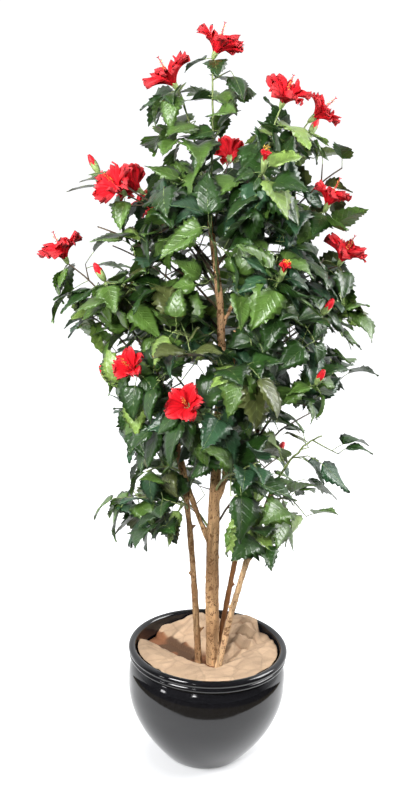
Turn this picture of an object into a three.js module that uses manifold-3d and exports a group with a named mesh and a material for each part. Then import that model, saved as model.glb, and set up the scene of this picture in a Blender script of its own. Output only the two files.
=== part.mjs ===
// An artificial hibiscus tree: silk foliage and blooms on natural wood stems, in a glazed pot.
// Millimetres, +Z up. The origin is the centre of the pot's flat underside, and -Y is the front.
import * as THREE from "three";
import { ConvexHull } from "three/addons/math/ConvexHull.js";
import { mergeVertices } from "three/addons/utils/BufferGeometryUtils.js";
import Module from "manifold-3d";

const wasm = await Module();
wasm.setup();

// ---------------------------------------------------------------- driving dimensions

const GAP = 0.3; // between two pieces that touch

const POT = {
  height: 288,
  foot: 96, // radius of the flat underside
  belly: 192.5,
  bellyHeight: 190,
  neck: 178,
  neckHeight: 250,
  band: 189, // radius of the low band under the rim
  bead: 9, // radius of the rolled rim
  rim: 194.5,
  wall: 10,
  floor: 14,
};

// The plug that holds the feet of the stems, inside the pot.
const PLUG = { foot: 68, top: 92, height: 214 };

// Kraft paper that hides the plug: a crumpled ring from its seat on the plug to the pot's rim.
const PAPER = { seat: 66, inner: 56, outer: 172, low: 250, high: 282, thick: 8, crumple: 5, uneven: 8 };

const ROUND = 32; // facets round the pot and the paper

// Each stem or bough: a few points of its axis, and its radius at the foot and at the tip.
const LIMBS = {
  trunk: { radius: [16, 6.5], path: [[14, 0], [0, 0, 560], [1, 0, 860], [-5, 0, 1093], [-39, 4, 1314]] },
  left_stem: { radius: [8.5, 5.5], path: [[-20, -12], [-46, -12, 505], [-68, -14, 670], [-96, -20, 800]] },
  right_dark_stem: { radius: [7, 5.5], path: [[20, 27], [51, 24, 458], [82, 30, 690], [94, 36, 830]] },
  right_pale_stem: { radius: [8.5, 6], path: [[26, -25], [47, -22, 351], [93, -24, 563], [138, -34, 720]] },
  left_bough: { from: "trunk", radius: [7, 5], path: [[0, 0, 535], [-59, -4, 678], [-119, -10, 917]] },
  right_bough: {
    from: "trunk",
    radius: [7, 6],
    path: [[-1, -2, 640], [20, -14, 712], [17, -18, 835], [30, -16, 1074]],
  },
  upper_bough: { from: "trunk", radius: [5, 4], path: [[-4, 0, 1071], [34, -4, 1173], [46, -6, 1249]] },
};
const LIMB_SIDES = 9;
const LIMB_STEP = 60;

// Shoots that show from the front, one mass of foliage each: the limb and the height where the shoot
// leaves it, then the azimuth (0 is +X, 90 is the back), the reach from the centre line and the height of
// its tip, and for an open bloom the azimuth and elevation that it faces.
const FRONT_SHOOTS = [
  ["top_shoot", "trunk", 1314, 192, 49, 1655, "bloom", 10, 76],
  ["upper_left_shoot", "trunk", 1262, 202, 128, 1588, "bloom", 190, 55],
  ["upper_right_shoot", "upper_bough", 1249, 344, 104, 1560, "bloom", 310, 62],
  ["high_right_shoot", "upper_bough", 1212, 12, 170, 1534, "bloom", 350, 40],
  ["high_left_shoot", "trunk", 1180, 208, 246, 1372, "bloom", 215, 38],
  ["high_far_left_shoot", "trunk", 1205, 178, 286, 1404, "bud"],
  ["high_back_left_shoot", "trunk", 1160, 154, 215, 1360, "bloom", 160, 30],
  ["shoulder_right_shoot", "upper_bough", 1200, 344, 214, 1350, "bloom", 0, 72],
  ["right_shoot", "right_bough", 1074, 2, 252, 1226, "bloom", 340, 68],
  ["far_left_shoot", "left_bough", 917, 180, 352, 1206, "bloom", 185, 62],
  ["left_front_shoot", "trunk", 1030, 207, 286, 1190, "bud"],
  ["centre_bud_shoot", "right_bough", 1060, 298, 230, 1216, "bud"],
  ["right_front_shoot", "right_bough", 980, 332, 236, 1132, "bud"],
  ["left_cup_shoot", "left_bough", 800, 219, 232, 995, "bloom", 235, 40],
  ["front_bloom_shoot", "trunk", 780, 255, 244, 955, "bloom", 262, 34],
  ["upper_front_shoot", "upper_bough", 1215, 294, 160, 1430, "bud"],
  ["right_low_shoot", "right_dark_stem", 830, 326, 246, 985, "bud"],
  ["left_mid_shoot", "left_bough", 880, 176, 306, 1086],
  ["right_mid_shoot", "right_bough", 920, 8, 284, 1130],
  ["left_low_shoot", "left_stem", 800, 186, 200, 880],
  ["right_lower_shoot", "right_pale_stem", 720, 354, 240, 838],
  ["left_lower_shoot", "left_stem", 730, 212, 186, 758],
  ["lowest_left_shoot", "left_stem", 650, 176, 210, 648],
  ["lowest_front_left_shoot", "left_stem", 640, 236, 146, 676],
  ["lowest_front_right_shoot", "right_pale_stem", 630, 300, 172, 672],
  ["lowest_right_shoot", "right_pale_stem", 665, 4, 196, 664],
  ["left_high_shoot", "trunk", 1110, 190, 286, 1296],
  ["upper_far_right_shoot", "upper_bough", 1166, 2, 244, 1440],
  ["right_mid_low_shoot", "right_dark_stem", 800, 14, 268, 990],
  ["front_low_shoot", "trunk", 680, 282, 226, 800],
  ["front_mid_shoot", "right_bough", 880, 282, 250, 1048],
  ["front_left_mid_shoot", "trunk", 960, 246, 246, 1110],
  ["front_high_shoot", "trunk", 1150, 258, 200, 1320],
];

// Shoots at the back, laid out by rule: tier by tier up the trunk, with a bloom on every third one.
const BACK = {
  count: 14,
  lowest: 640,
  highest: 1500,
  azimuths: [128, 52, 90, 36, 156],
  reach: 300,
  widestHeight: 1060,
  halfHeight: 640,
  bloomEvery: 3,
};

// A shoot's twig, from its limb to its tip. Nodes are the places where leaves and side shoots stand.
const SHOOT = { radii: [3, 1.9], nodes: 6, firstNode: 0.3, lastNode: 0.92, steps: 6 };
const SIDE = {
  onNodes: 4,
  length: 86,
  spread: 0.62,
  sag: 0.04,
  radii: [2.1, 1.4],
  nodes: [0.42, 0.78],
  leafShare: 0.92,
};
const NODE_LENGTH = 6;
const LEAST_FACING = 0.35; // cosine between a leaf and the face of the twig that it stands on
const OPPOSITE = 2.4; // radians round the twig between the leaves of one node
const GOLDEN_ANGLE = Math.PI * (3 - Math.sqrt(5));

const LEAF = {
  length: 98,
  width: 58,
  thick: 1.8,
  widest: 0.42, // share of the length
  spread: 0.72, // how far it stands off its twig
  sag: [0.2, 0.85],
  roll: 0.7,
  smaller: [1, 0.8], // shares of its size and
  aside: [0, 0.4, -0.4, 0.8, -0.8, 1.2, -1.2], // turns round the twig that are tried until it fits
};

const BLOOM = {
  length: 44, // from its foot to the rim of the petals
  radius: 50,
  notch: 36, // radius between two petals
  curl: 6,
  thick: 1.8,
  pistil: 72,
  pistilRadius: 2.4,
  calyx: 6.5,
  calyxLength: 10,
};
const BUD = { length: 46, radius: 9 };

// Room that is kept free.
const OWN_SPACE = 4; // a leaf lies this much nearer to its own shoot than to any other
const LOWEST_LEAF = 515;
const LIMB_CLEARANCE = 2;

// ---------------------------------------------------------------- materials

const paint = (color, roughness) => new THREE.MeshStandardMaterial({ color, roughness, flatShading: true });
const MATERIAL = {
  glaze: paint(0x0c0c0e, 0.12),
  plaster: paint(0xb9b3a6, 0.9),
  paper: paint(0xd9b58a, 0.85),
  wood: paint(0xb98f63, 0.75),
  darkWood: paint(0x8a5a34, 0.75),
  foliage: paint(0x1f4a26, 0.55),
};

// ---------------------------------------------------------------- solids

const UP = new THREE.Vector3(0, 0, 1);
const PLUG_TOP = POT.floor + GAP + PLUG.height;
const FOOT_HEIGHT = PLUG_TOP + GAP;

const between = (from, to, steps) =>
  Array.from({ length: steps + 1 }, (_, i) => from + ((to - from) * i) / steps);

// Whether the edge between two corners passes through a face.
const ray = new THREE.Ray();
const hit = new THREE.Vector3();
function pierces(from, to, face) {
  if (face.includes(from) || face.includes(to)) return false;
  ray.set(from, ray.direction.subVectors(to, from));
  const found = ray.intersectTriangle(...face, false, hit);
  return found !== null && found.distanceToSquared(from) < to.distanceToSquared(from);
}

// Whether two faces cross. Faces that only share corners don't.
function facesCross(one, other) {
  const through = (edges, face) => edges.some((corner, i) => pierces(corner, edges[(i + 1) % 3], face));
  return through(one, other) || through(other, one);
}

// A closed surface that is built up ring by ring. A ring is a list of corners that runs anticlockwise as
// seen from the end that the surface grows towards. A face is a list of three corners, which it shares
// with its neighbours, and any face can be drawn out into a ring of its own.
class Surface {
  faces = new Map(); // each face, with the box round it

  face(...corners) {
    this.faces.set(corners, new THREE.Box3().setFromPoints(corners));
    return corners;
  }

  // Joins two rings, which may have different counts, starting where they lie nearest. Returns the faces.
  band(lower, upper) {
    const apart = (shift) =>
      lower.reduce((sum, corner, i) => {
        const other = upper[(Math.floor((i * upper.length) / lower.length) + shift) % upper.length];
        return sum + corner.distanceToSquared(other);
      }, 0);
    const shifts = upper.map((_, i) => i);
    const shift = shifts.reduce((best, each) => (apart(each) < apart(best) ? each : best));
    const low = (i) => lower[i % lower.length];
    const high = (i) => upper[(i + shift) % upper.length];
    const made = [];
    let [l, u] = [0, 0];
    while (l < lower.length || u < upper.length) {
      if (l < lower.length && (l + 1) * upper.length <= (u + 1) * lower.length) {
        made.push(this.face(low(l), low(l + 1), high(u)));
        l++;
      } else {
        made.push(this.face(low(l), high(u + 1), high(u)));
        u++;
      }
    }
    return made;
  }

  // Closes a ring with a fan to one point.
  close(ring, point) {
    ring.forEach((corner, i) => this.face(corner, ring[(i + 1) % ring.length], point));
  }

  // Closes a ring behind the start of the surface.
  closeStart(ring, point) {
    this.close([...ring].reverse(), point);
  }

  // Takes out one face, whose three corners are then the foot of what grows there.
  open(face) {
    this.faces.delete(face);
    return face;
  }

  normal([a, b, c]) {
    return b.clone().sub(a).cross(c.clone().sub(a)).normalize();
  }

  crosses(face, box) {
    return [...this.faces].some(
      ([other, otherBox]) => other !== face && box.intersectsBox(otherBox) && facesCross(face, other),
    );
  }

  // Grows something, and takes it back if it didn't grow or crosses this surface or one of the others.
  attempt(grow, others) {
    const before = new Map(this.faces);
    const grown = grow();
    const made = [...this.faces].filter(([face]) => !before.has(face));
    const isClear = made.every(([face, box]) => ![this, ...others].some((each) => each.crosses(face, box)));
    if (grown && isClear) return grown;
    this.faces = before;
    return undefined;
  }

  body() {
    const corners = [...new Set([...this.faces.keys()].flat())];
    const numbers = new Map(corners.map((corner, i) => [corner, i]));
    return new wasm.Manifold(
      new wasm.Mesh({
        numProp: 3,
        vertProperties: new Float32Array(corners.flatMap((corner) => corner.toArray())),
        triVerts: new Uint32Array([...this.faces.keys()].flat().map((corner) => numbers.get(corner))),
      }),
    );
  }
}

// A round of points about an axis, anticlockwise as seen from the axis's far end.
function roundOf(centre, axis, radius, sides) {
  const reference = Math.abs(axis.z) > 0.9 ? new THREE.Vector3(1, 0, 0) : UP;
  const across = new THREE.Vector3().crossVectors(reference, axis).normalize();
  const over = new THREE.Vector3().crossVectors(axis, across).normalize();
  return Array.from({ length: sides }, (_, side) => {
    const angle = (2 * Math.PI * side) / sides;
    return centre
      .clone()
      .addScaledVector(across, radius * Math.cos(angle))
      .addScaledVector(over, radius * Math.sin(angle));
  });
}

// A closed tube along the points, one radius for each, with level rings.
function levelTube(points, radii, sides) {
  const surface = new Surface();
  const rings = points.map((point, i) => roundOf(point, UP, radii[i], sides));
  surface.closeStart(rings[0], points[0]);
  rings.slice(1).forEach((ring, i) => surface.band(rings[i], ring));
  surface.close(rings.at(-1), points.at(-1));
  return surface;
}

// A profile of [radius, height] pairs turned about Z. shape(corner) may move each corner.
function turned(profile, shape = (corner) => corner) {
  const lathe = new THREE.LatheGeometry(profile.map(([r, z]) => new THREE.Vector2(r, z)), ROUND);
  lathe.deleteAttribute("normal");
  lathe.deleteAttribute("uv");
  lathe.rotateX(Math.PI / 2);
  const { attributes, index } = mergeVertices(lathe, 1e-3);
  const corners = Array.from({ length: attributes.position.count }, (_, i) =>
    shape(new THREE.Vector3().fromBufferAttribute(attributes.position, i)));
  const surface = new Surface();
  for (let i = 0; i < index.count; i += 3) {
    const face = [0, 1, 2].map((k) => corners[index.getX(i + k)]);
    if (new Set(face).size === 3) surface.face(...face);
  }
  return surface.body();
}

// The largest closed body that a cut leaves.
function wholeBody(cut) {
  return cut.decompose().reduce((most, body) => (body.volume() > most.volume() ? body : most));
}

function meshOf(name, body, material) {
  const { numProp, vertProperties, triVerts } = body.getMesh();
  const position = new Float32Array((vertProperties.length / numProp) * 3);
  for (let i = 0; i < position.length / 3; i++)
    position.set(vertProperties.subarray(i * numProp, i * numProp + 3), i * 3);
  const geometry = new THREE.BufferGeometry();
  geometry.setAttribute("position", new THREE.BufferAttribute(position, 3));
  geometry.setIndex(new THREE.BufferAttribute(triVerts, 1));
  geometry.computeVertexNormals();
  const mesh = new THREE.Mesh(geometry, material);
  mesh.name = name;
  return mesh;
}

// ---------------------------------------------------------------- pot, plug and paper

// The pot's outside: a quarter wave from foot to belly, and another from belly to neck.
function potRadius(z) {
  if (z < POT.bellyHeight) {
    const share = Math.pow(z / POT.bellyHeight, 0.92);
    return POT.foot + (POT.belly - POT.foot) * Math.sin((share * Math.PI) / 2);
  }
  const share = Math.pow((z - POT.bellyHeight) / (POT.neckHeight - POT.bellyHeight), 2);
  return POT.neck + (POT.belly - POT.neck) * Math.cos((share * Math.PI) / 2);
}

function pot() {
  const outside = between(0, POT.neckHeight, 8).map((z) => [potRadius(z), z]);
  const inside = between(POT.neckHeight, POT.floor, 5).map((z) => [potRadius(z) - POT.wall, z]);
  const beadCentre = [POT.rim - POT.bead, POT.height - POT.bead];
  const bead = between(-60, 180, 5).map((degrees) => {
    const angle = THREE.MathUtils.degToRad(degrees);
    return [beadCentre[0] + POT.bead * Math.cos(angle), beadCentre[1] + POT.bead * Math.sin(angle)];
  });
  const bandHeight = (POT.neckHeight + POT.height - 2 * POT.bead) / 2;
  return turned([[0, 0], ...outside, [POT.band, bandHeight], ...bead, ...inside, [0, POT.floor]]);
}

function plug() {
  const foot = POT.floor + GAP;
  return turned([[0, foot], [PLUG.foot, foot], [PLUG.top, PLUG_TOP], [0, PLUG_TOP]]);
}

// The ring's top face waves, dips at the back left and is folded up at the back right.
function paper() {
  const { seat, inner, outer, low, high, thick, crumple, uneven } = PAPER;
  const foot = PLUG_TOP + GAP;
  const neck = POT.neck - POT.wall - GAP;
  const profile = [
    [seat, foot],
    [seat + thick, foot],
    [seat + thick, low - thick],
    [neck - 18, low + 10],
    [neck, low + 4],
    [neck, low + 12],
    [outer, high],
    [outer - 24, high - 2],
    [(inner + outer) / 2, (low + high) / 2],
    [inner, low],
    [seat, foot],
  ];
  return turned(profile, (corner) => {
    const angle = Math.atan2(corner.y, corner.x);
    const reach = Math.hypot(corner.x, corner.y);
    const nearHole = reach < PLUG.top ? (uneven / reach) * Math.sin(2 * angle + 0.6) : 0;
    const lift = THREE.MathUtils.clamp((corner.z - low) / (high - low), 0, 1);
    const wave = crumple * (0.5 * Math.sin(3 * angle + 1) + 0.3 * Math.sin(7 * angle));
    const dip = -20 * Math.exp(-(((angle - 2.2) / 0.5) ** 2));
    const fold = 12 * Math.exp(-(((angle - 0.9) / 0.45) ** 2));
    const aside = 1 + nearHole;
    return new THREE.Vector3(corner.x * aside, corner.y * aside, corner.z + lift * (wave + dip + fold));
  });
}

// ---------------------------------------------------------------- stems and boughs

const limbs = Object.entries(LIMBS).map(([name, { from, radius, path }]) => {
  const axis = path.map(([x, y, z = FOOT_HEIGHT]) => new THREE.Vector3(x, y, z));
  const curve = new THREE.CatmullRomCurve3(axis);
  const steps = Math.ceil(curve.getLength() / LIMB_STEP);
  const points = curve.getPoints(steps);
  const radii = between(radius[0], radius[1], steps);
  return { name, from, points, radii };
});
const limbNamed = (name) => limbs.find((limb) => limb.name === name);

// The limb's surface, or one that is fatter all round by the amount given.
function limbSurface({ points, radii }, fatter = 0) {
  const axis = points.map((point) => point.clone());
  axis[0].z -= fatter;
  axis.at(-1).z += fatter;
  return levelTube(axis, radii.map((radius) => radius + fatter), LIMB_SIDES);
}

const limbRooms = limbs.map((limb) => limbSurface(limb, LIMB_CLEARANCE));

// The point of a limb's axis at a height.
function onLimb({ points, radii }, height) {
  const next = Math.max(1, points.findIndex((point) => point.z >= height - 1e-6));
  const share = (height - points[next - 1].z) / (points[next].z - points[next - 1].z);
  return points[next - 1].clone().lerp(points[next], share);
}

// ---------------------------------------------------------------- shoots

const onCircle = (azimuth, reach, height) => {
  const angle = THREE.MathUtils.degToRad(azimuth);
  return new THREE.Vector3(reach * Math.cos(angle), reach * Math.sin(angle), height);
};

const heading = (azimuth, elevation) => {
  const angle = THREE.MathUtils.degToRad(elevation);
  return onCircle(azimuth, Math.cos(angle), Math.sin(angle));
};

function backShoots() {
  return between(BACK.lowest, BACK.highest, BACK.count - 1).map((height, i) => {
    const share = (height - BACK.widestHeight) / BACK.halfHeight;
    const reach = BACK.reach * Math.sqrt(1 - share * share);
    const azimuth = BACK.azimuths[i % BACK.azimuths.length];
    const root = Math.min(Math.max(height - 0.6 * reach, 575 + 9 * i), 1270);
    const flower = i % BACK.bloomEvery === 1 ? ["bloom", azimuth, 30] : [];
    return [`back_shoot_${i + 1}`, "trunk", root, azimuth, reach, height, ...flower];
  });
}

// The shoot's axis: it leaves its limb upwards and arches out to its tip.
const shoots = [...FRONT_SHOOTS, ...backShoots()].map(
  ([name, limbName, rootHeight, azimuth, reach, height, flower, faceAzimuth, faceElevation], index) => {
    const limb = limbNamed(limbName);
    const root = onLimb(limb, rootHeight);
    const tip = onCircle(azimuth, reach, height);
    const bend = root.clone().lerp(tip, 0.42);
    bend.z = root.z + Math.max(0.62 * (tip.z - root.z), 0) + 22;
    const curve = new THREE.QuadraticBezierCurve3(root, bend, tip);
    const points = curve.getPoints(SHOOT.steps);
    const facing = flower === "bloom" ? heading(faceAzimuth, faceElevation) : undefined;
    return { name, index, limb, curve, points, flower, facing };
  },
);

// ---------------------------------------------------------------- the space that each shoot keeps to

function distanceToPath(point, path) {
  let least = Infinity;
  for (let i = 1; i < path.length; i++) {
    const along = path[i].clone().sub(path[i - 1]);
    const share = THREE.MathUtils.clamp(point.clone().sub(path[i - 1]).dot(along) / along.lengthSq(), 0, 1);
    least = Math.min(least, point.distanceTo(path[i - 1].clone().addScaledVector(along, share)));
  }
  return least;
}

function inOwnSpace(points, shoot) {
  return points.every((point) => {
    if (point.z < LOWEST_LEAF) return false;
    const own = distanceToPath(point, shoot.points) + OWN_SPACE;
    return shoots.every((other) => other === shoot || distanceToPath(point, other.points) > own);
  });
}

// ---------------------------------------------------------------- leaves, blooms and twigs

// Repeatable random numbers from 0 to 1 (mulberry32).
function seeded(seed) {
  let state = seed >>> 0;
  return () => {
    state = (state + 0x6d2b79f5) >>> 0;
    let t = state;
    t = Math.imul(t ^ (t >>> 15), t | 1);
    t ^= t + Math.imul(t ^ (t >>> 7), t | 61);
    return ((t ^ (t >>> 14)) >>> 0) / 4294967296;
  };
}

// A placing with its x axis along the direction and its z axis as near upright as that allows.
function placing(origin, direction, roll = 0) {
  const x = direction.clone().normalize();
  const y = new THREE.Vector3().crossVectors(Math.abs(x.z) > 0.98 ? new THREE.Vector3(0, -1, 0) : UP, x);
  y.normalize().applyAxisAngle(x, roll);
  return new THREE.Matrix4().makeBasis(x, y, new THREE.Vector3().crossVectors(x, y)).setPosition(origin);
}

const placed = (matrix, ...points) =>
  points.map(([x, y, z]) => new THREE.Vector3(x, y, z).applyMatrix4(matrix));

const leafSize = (share) => ({ length: share * LEAF.length, width: share * LEAF.width });

// Points spread over a leaf's blade, to test the space that it lies in.
function bladePoints(matrix, { length, width }) {
  return between(0.24, 1, 7).flatMap((along) => {
    const share = along < LEAF.widest ? along / LEAF.widest : (1 - along) / (1 - LEAF.widest);
    const half = (share * width) / 2;
    return placed(matrix, ...[-1, 0, 1].map((across) => [along * length, across * half, 0]));
  });
}

// Draws a foot of three corners out into a leaf: a thin kite with a ridge along its upper side, which is
// the hull of its foot and its outline. Nothing grows where the foot would look away from the blade.
function growLeaf(surface, foot, matrix, { length, width }) {
  const middle = LEAF.widest * length;
  const sides = [[middle, width / 2, 0], [middle, -width / 2, 0]];
  const outline = placed(matrix, ...sides, [middle, 0, LEAF.thick], [length, 0, 0]);
  const hull = new ConvexHull().setFromPoints([...foot, ...outline]);
  const faces = hull.faces.map(({ edge }) => [edge, edge.next, edge.prev].map((each) => each.head().point));
  const joint = faces.find((face) => foot.every((corner) => face.includes(corner)));
  if (!joint) return false;
  faces.filter((face) => face !== joint).forEach((face) => surface.face(...face));
  return true;
}

// Draws the end of a shoot out into an open bloom: its calyx, a funnel of five petals and its pistil.
function growBloom(surface, end, matrix) {
  const { length, radius, notch, curl, thick, pistil, pistilRadius, calyx, calyxLength } = BLOOM;
  const round = (count, place) => {
    const points = Array.from({ length: count }, (_, i) => {
      const angle = (2 * Math.PI * i) / count;
      const [along, reach] = place(i % 2 === 1);
      return [along, reach * Math.cos(angle), reach * Math.sin(angle)];
    });
    return placed(matrix, ...points);
  };
  const rings = [
    end,
    round(5, () => [calyxLength, calyx]),
    round(10, (isNotch) => (isNotch ? [length - curl, notch] : [length, radius])),
    round(10, (isNotch) => (isNotch ? [length - curl + thick, notch] : [length + thick, radius])),
    round(3, () => [calyxLength + 2 * thick, pistilRadius]),
  ];
  rings.slice(1).forEach((ring, i) => surface.band(rings[i], ring));
  surface.close(rings.at(-1), ...placed(matrix, [pistil, 0, 0]));
}

// Draws the end of a shoot out into a closed bud.
function growBud(surface, end, matrix) {
  const [centre] = placed(matrix, [BUD.length * 0.4, 0, 0]);
  const axis = new THREE.Vector3().setFromMatrixColumn(matrix, 0);
  const ring = roundOf(centre, axis, BUD.radius, 5);
  surface.band(end, ring);
  surface.close(ring, ...placed(matrix, [BUD.length, 0, 0]));
}

// Draws a ring of three corners out along the path into a twig, with a short length of its own at each
// node for leaves to stand on. Returns the end ring and each node's place, direction and faces.
function growTwig(surface, foot, pathAt, nodeShares, [radius, tipRadius]) {
  const nodes = [];
  let ring = foot;
  const ringAt = (share) => {
    const thick = radius + (tipRadius - radius) * share;
    const next = roundOf(pathAt(share), tangentOf(pathAt, share), thick, 3);
    const faces = surface.band(ring, next);
    ring = next;
    return faces;
  };
  const half = NODE_LENGTH / 2 / pathAt(0).distanceTo(pathAt(1));
  for (const share of nodeShares) {
    ringAt(share - half);
    nodes.push({ place: pathAt(share), along: tangentOf(pathAt, share), faces: ringAt(share + half) });
  }
  ringAt(1);
  return { end: ring, nodes };
}

const tangentOf = (pathAt, share) =>
  pathAt(Math.min(share + 0.01, 1)).sub(pathAt(Math.max(share - 0.01, 0))).normalize();

// The way a leaf or a side shoot leaves its twig: turned about the twig, spread from it, and sagging.
function leaving(along, turn, spread, sag) {
  const out = new THREE.Vector3().crossVectors(along, UP).normalize().applyAxisAngle(along, turn);
  const way = along.clone().multiplyScalar(1 - spread).addScaledVector(out, spread);
  return way.addScaledVector(UP, -sag).normalize();
}

// The face of a node that looks most nearly the given way, or none if it looks too far aside.
function faceTowards(surface, { faces }, direction) {
  const looks = (face) => surface.normal(face).dot(direction);
  const open = faces.filter((face) => surface.faces.has(face));
  const [best] = open.sort((one, other) => looks(other) - looks(one));
  return best && looks(best) > LEAST_FACING ? best : undefined;
}

// The mass of foliage on one shoot. Its twigs branch by rule, and each leaf is drawn out of its twig.
function foliage(shoot) {
  const random = seeded(7919 * (shoot.index + 1));
  const surface = new Surface();
  const leaderAt = (share) => shoot.curve.getPoint(share);
  const foot = roundOf(leaderAt(0), tangentOf(leaderAt, 0), SHOOT.radii[0], 3);
  surface.face(foot[0], foot[2], foot[1]);
  const nodes = between(SHOOT.firstNode, SHOOT.lastNode, SHOOT.nodes - 1);
  const leader = growTwig(surface, foot, leaderAt, nodes, SHOOT.radii);

  const tryLeaf = (start, matrix, size) =>
    inOwnSpace(bladePoints(matrix, size), shoot) &&
    surface.attempt(() => growLeaf(surface, surface.open(start), matrix, size), limbRooms);

  const addLeaf = (node, turn, share) => {
    const full = share * (0.88 + 0.24 * random());
    const sag = LEAF.sag[0] + (LEAF.sag[1] - LEAF.sag[0]) * random();
    const roll = (random() - 0.5) * LEAF.roll;
    const tries = LEAF.smaller.flatMap((smaller) => LEAF.aside.map((aside) => [smaller * full, aside]));
    tries.some(([size, aside]) => {
      const direction = leaving(node.along, turn + aside, LEAF.spread, sag);
      const face = faceTowards(surface, node, direction);
      return face && tryLeaf(face, placing(node.place, direction, roll), leafSize(size));
    });
  };

  // The leaf at the end of a twig, or a bare end where it has no room.
  const addEndLeaf = (end, tip, direction, share) => {
    const matrix = placing(tip, direction.clone().addScaledVector(UP, -LEAF.sag[0]));
    const grew = LEAF.smaller.some((smaller) => tryLeaf(end, matrix, leafSize(share * smaller)));
    if (!grew) surface.face(...end);
  };

  const sides = [];
  leader.nodes.slice(0, SIDE.onNodes).forEach((node, i) => {
    const turn = (i + shoot.index) * GOLDEN_ANGLE;
    const direction = leaving(node.along, turn, SIDE.spread, SIDE.sag);
    const length = SIDE.length * (1 - 0.08 * i) * (0.85 + 0.3 * random());
    const sideAt = (share) => node.place.clone().addScaledVector(direction, share * length);
    const face = faceTowards(surface, node, direction);
    if (!face || !inOwnSpace(between(0.25, 1, 4).map(sideAt), shoot)) return;
    const grow = () => growTwig(surface, surface.open(face), sideAt, SIDE.nodes, SIDE.radii);
    const side = surface.attempt(grow, limbRooms);
    if (side) sides.push({ ...side, turn, tip: sideAt(1), direction });
  });

  const tip = leaderAt(1);
  const tipDirection = tangentOf(leaderAt, 1);
  if (shoot.flower === "bloom") growBloom(surface, leader.end, placing(tip, shoot.facing));
  else if (shoot.flower === "bud") growBud(surface, leader.end, placing(tip, tipDirection));
  else addEndLeaf(leader.end, tip, tipDirection, 1);

  for (const side of sides) {
    addEndLeaf(side.end, side.tip, side.direction, SIDE.leafShare);
    side.nodes.forEach((node, k) => {
      addLeaf(node, side.turn + k * GOLDEN_ANGLE, SIDE.leafShare);
      addLeaf(node, side.turn + k * GOLDEN_ANGLE + OPPOSITE, SIDE.leafShare);
    });
  }
  leader.nodes.forEach((node, i) => {
    const turn = (i + shoot.index) * GOLDEN_ANGLE;
    addLeaf(node, turn + OPPOSITE, 1);
    addLeaf(node, turn - OPPOSITE, 1);
  });
  return wholeBody(surface.body().subtract(limbSurface(shoot.limb, GAP).body()));
}

// ---------------------------------------------------------------- the whole plant

const plant = new THREE.Group();
plant.name = "artificial_hibiscus_tree";
plant.add(meshOf("pot", pot(), MATERIAL.glaze));
plant.add(meshOf("planting_plug", plug(), MATERIAL.plaster));
plant.add(meshOf("kraft_paper", paper(), MATERIAL.paper));

for (const limb of limbs) {
  const whole = limbSurface(limb).body();
  const body = limb.from ? wholeBody(whole.subtract(limbSurface(limbNamed(limb.from), GAP).body())) : whole;
  plant.add(meshOf(limb.name, body, limb.name === "right_dark_stem" ? MATERIAL.darkWood : MATERIAL.wood));
}
for (const shoot of shoots) plant.add(meshOf(shoot.name, foliage(shoot), MATERIAL.foliage));

export default plant;
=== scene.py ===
import math

import bpy
import numpy as np
from bpy.props import FloatProperty, FloatVectorProperty, IntProperty, PointerProperty
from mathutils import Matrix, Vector, noise


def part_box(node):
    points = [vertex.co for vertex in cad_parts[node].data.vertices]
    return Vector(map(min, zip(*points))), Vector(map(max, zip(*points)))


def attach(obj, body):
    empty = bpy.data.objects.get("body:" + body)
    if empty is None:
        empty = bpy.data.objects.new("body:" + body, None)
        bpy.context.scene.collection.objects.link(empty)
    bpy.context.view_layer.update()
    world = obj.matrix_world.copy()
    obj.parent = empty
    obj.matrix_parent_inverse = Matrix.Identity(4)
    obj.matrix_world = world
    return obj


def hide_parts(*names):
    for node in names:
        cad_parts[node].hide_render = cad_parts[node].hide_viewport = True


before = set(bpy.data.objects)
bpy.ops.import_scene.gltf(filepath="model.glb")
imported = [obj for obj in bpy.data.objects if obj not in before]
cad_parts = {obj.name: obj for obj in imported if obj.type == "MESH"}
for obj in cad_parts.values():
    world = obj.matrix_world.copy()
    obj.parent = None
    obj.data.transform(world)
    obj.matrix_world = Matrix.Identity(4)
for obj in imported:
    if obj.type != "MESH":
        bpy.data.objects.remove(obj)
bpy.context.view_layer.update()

bl_info = {
    "name": "Artificial hibiscus tree",
    "version": (1, 0, 0),
    "blender": (4, 5, 0),
    "location": "View3D > Sidebar > Hibiscus",
    "description": "Dresses the frame of an artificial hibiscus tree in a glazed pot",
    "category": "Object",
}

UP = np.array((0.0, 0.0, 1.0))
FRONT = np.array((0.0, -1.0, 0.0))
MM = 0.001
CM = 0.01
GOLDEN_ANGLE = math.pi * (3 - math.sqrt(5))
ANY_TURN = (0, 6.28)

BODY = "root"
STEMS = ("left_stem", "right_dark_stem", "right_pale_stem")
# Each bough grows from the trunk, at this height in metres.
BOUGHS = {"left_bough": 0.535, "right_bough": 0.640, "upper_bough": 1.071}
POT_LOW, POT_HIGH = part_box("pot")
PLUG_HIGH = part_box("planting_plug")[1]
PAPER_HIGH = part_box("kraft_paper")[1]
POT_RIM = POT_HIGH.x

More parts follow.
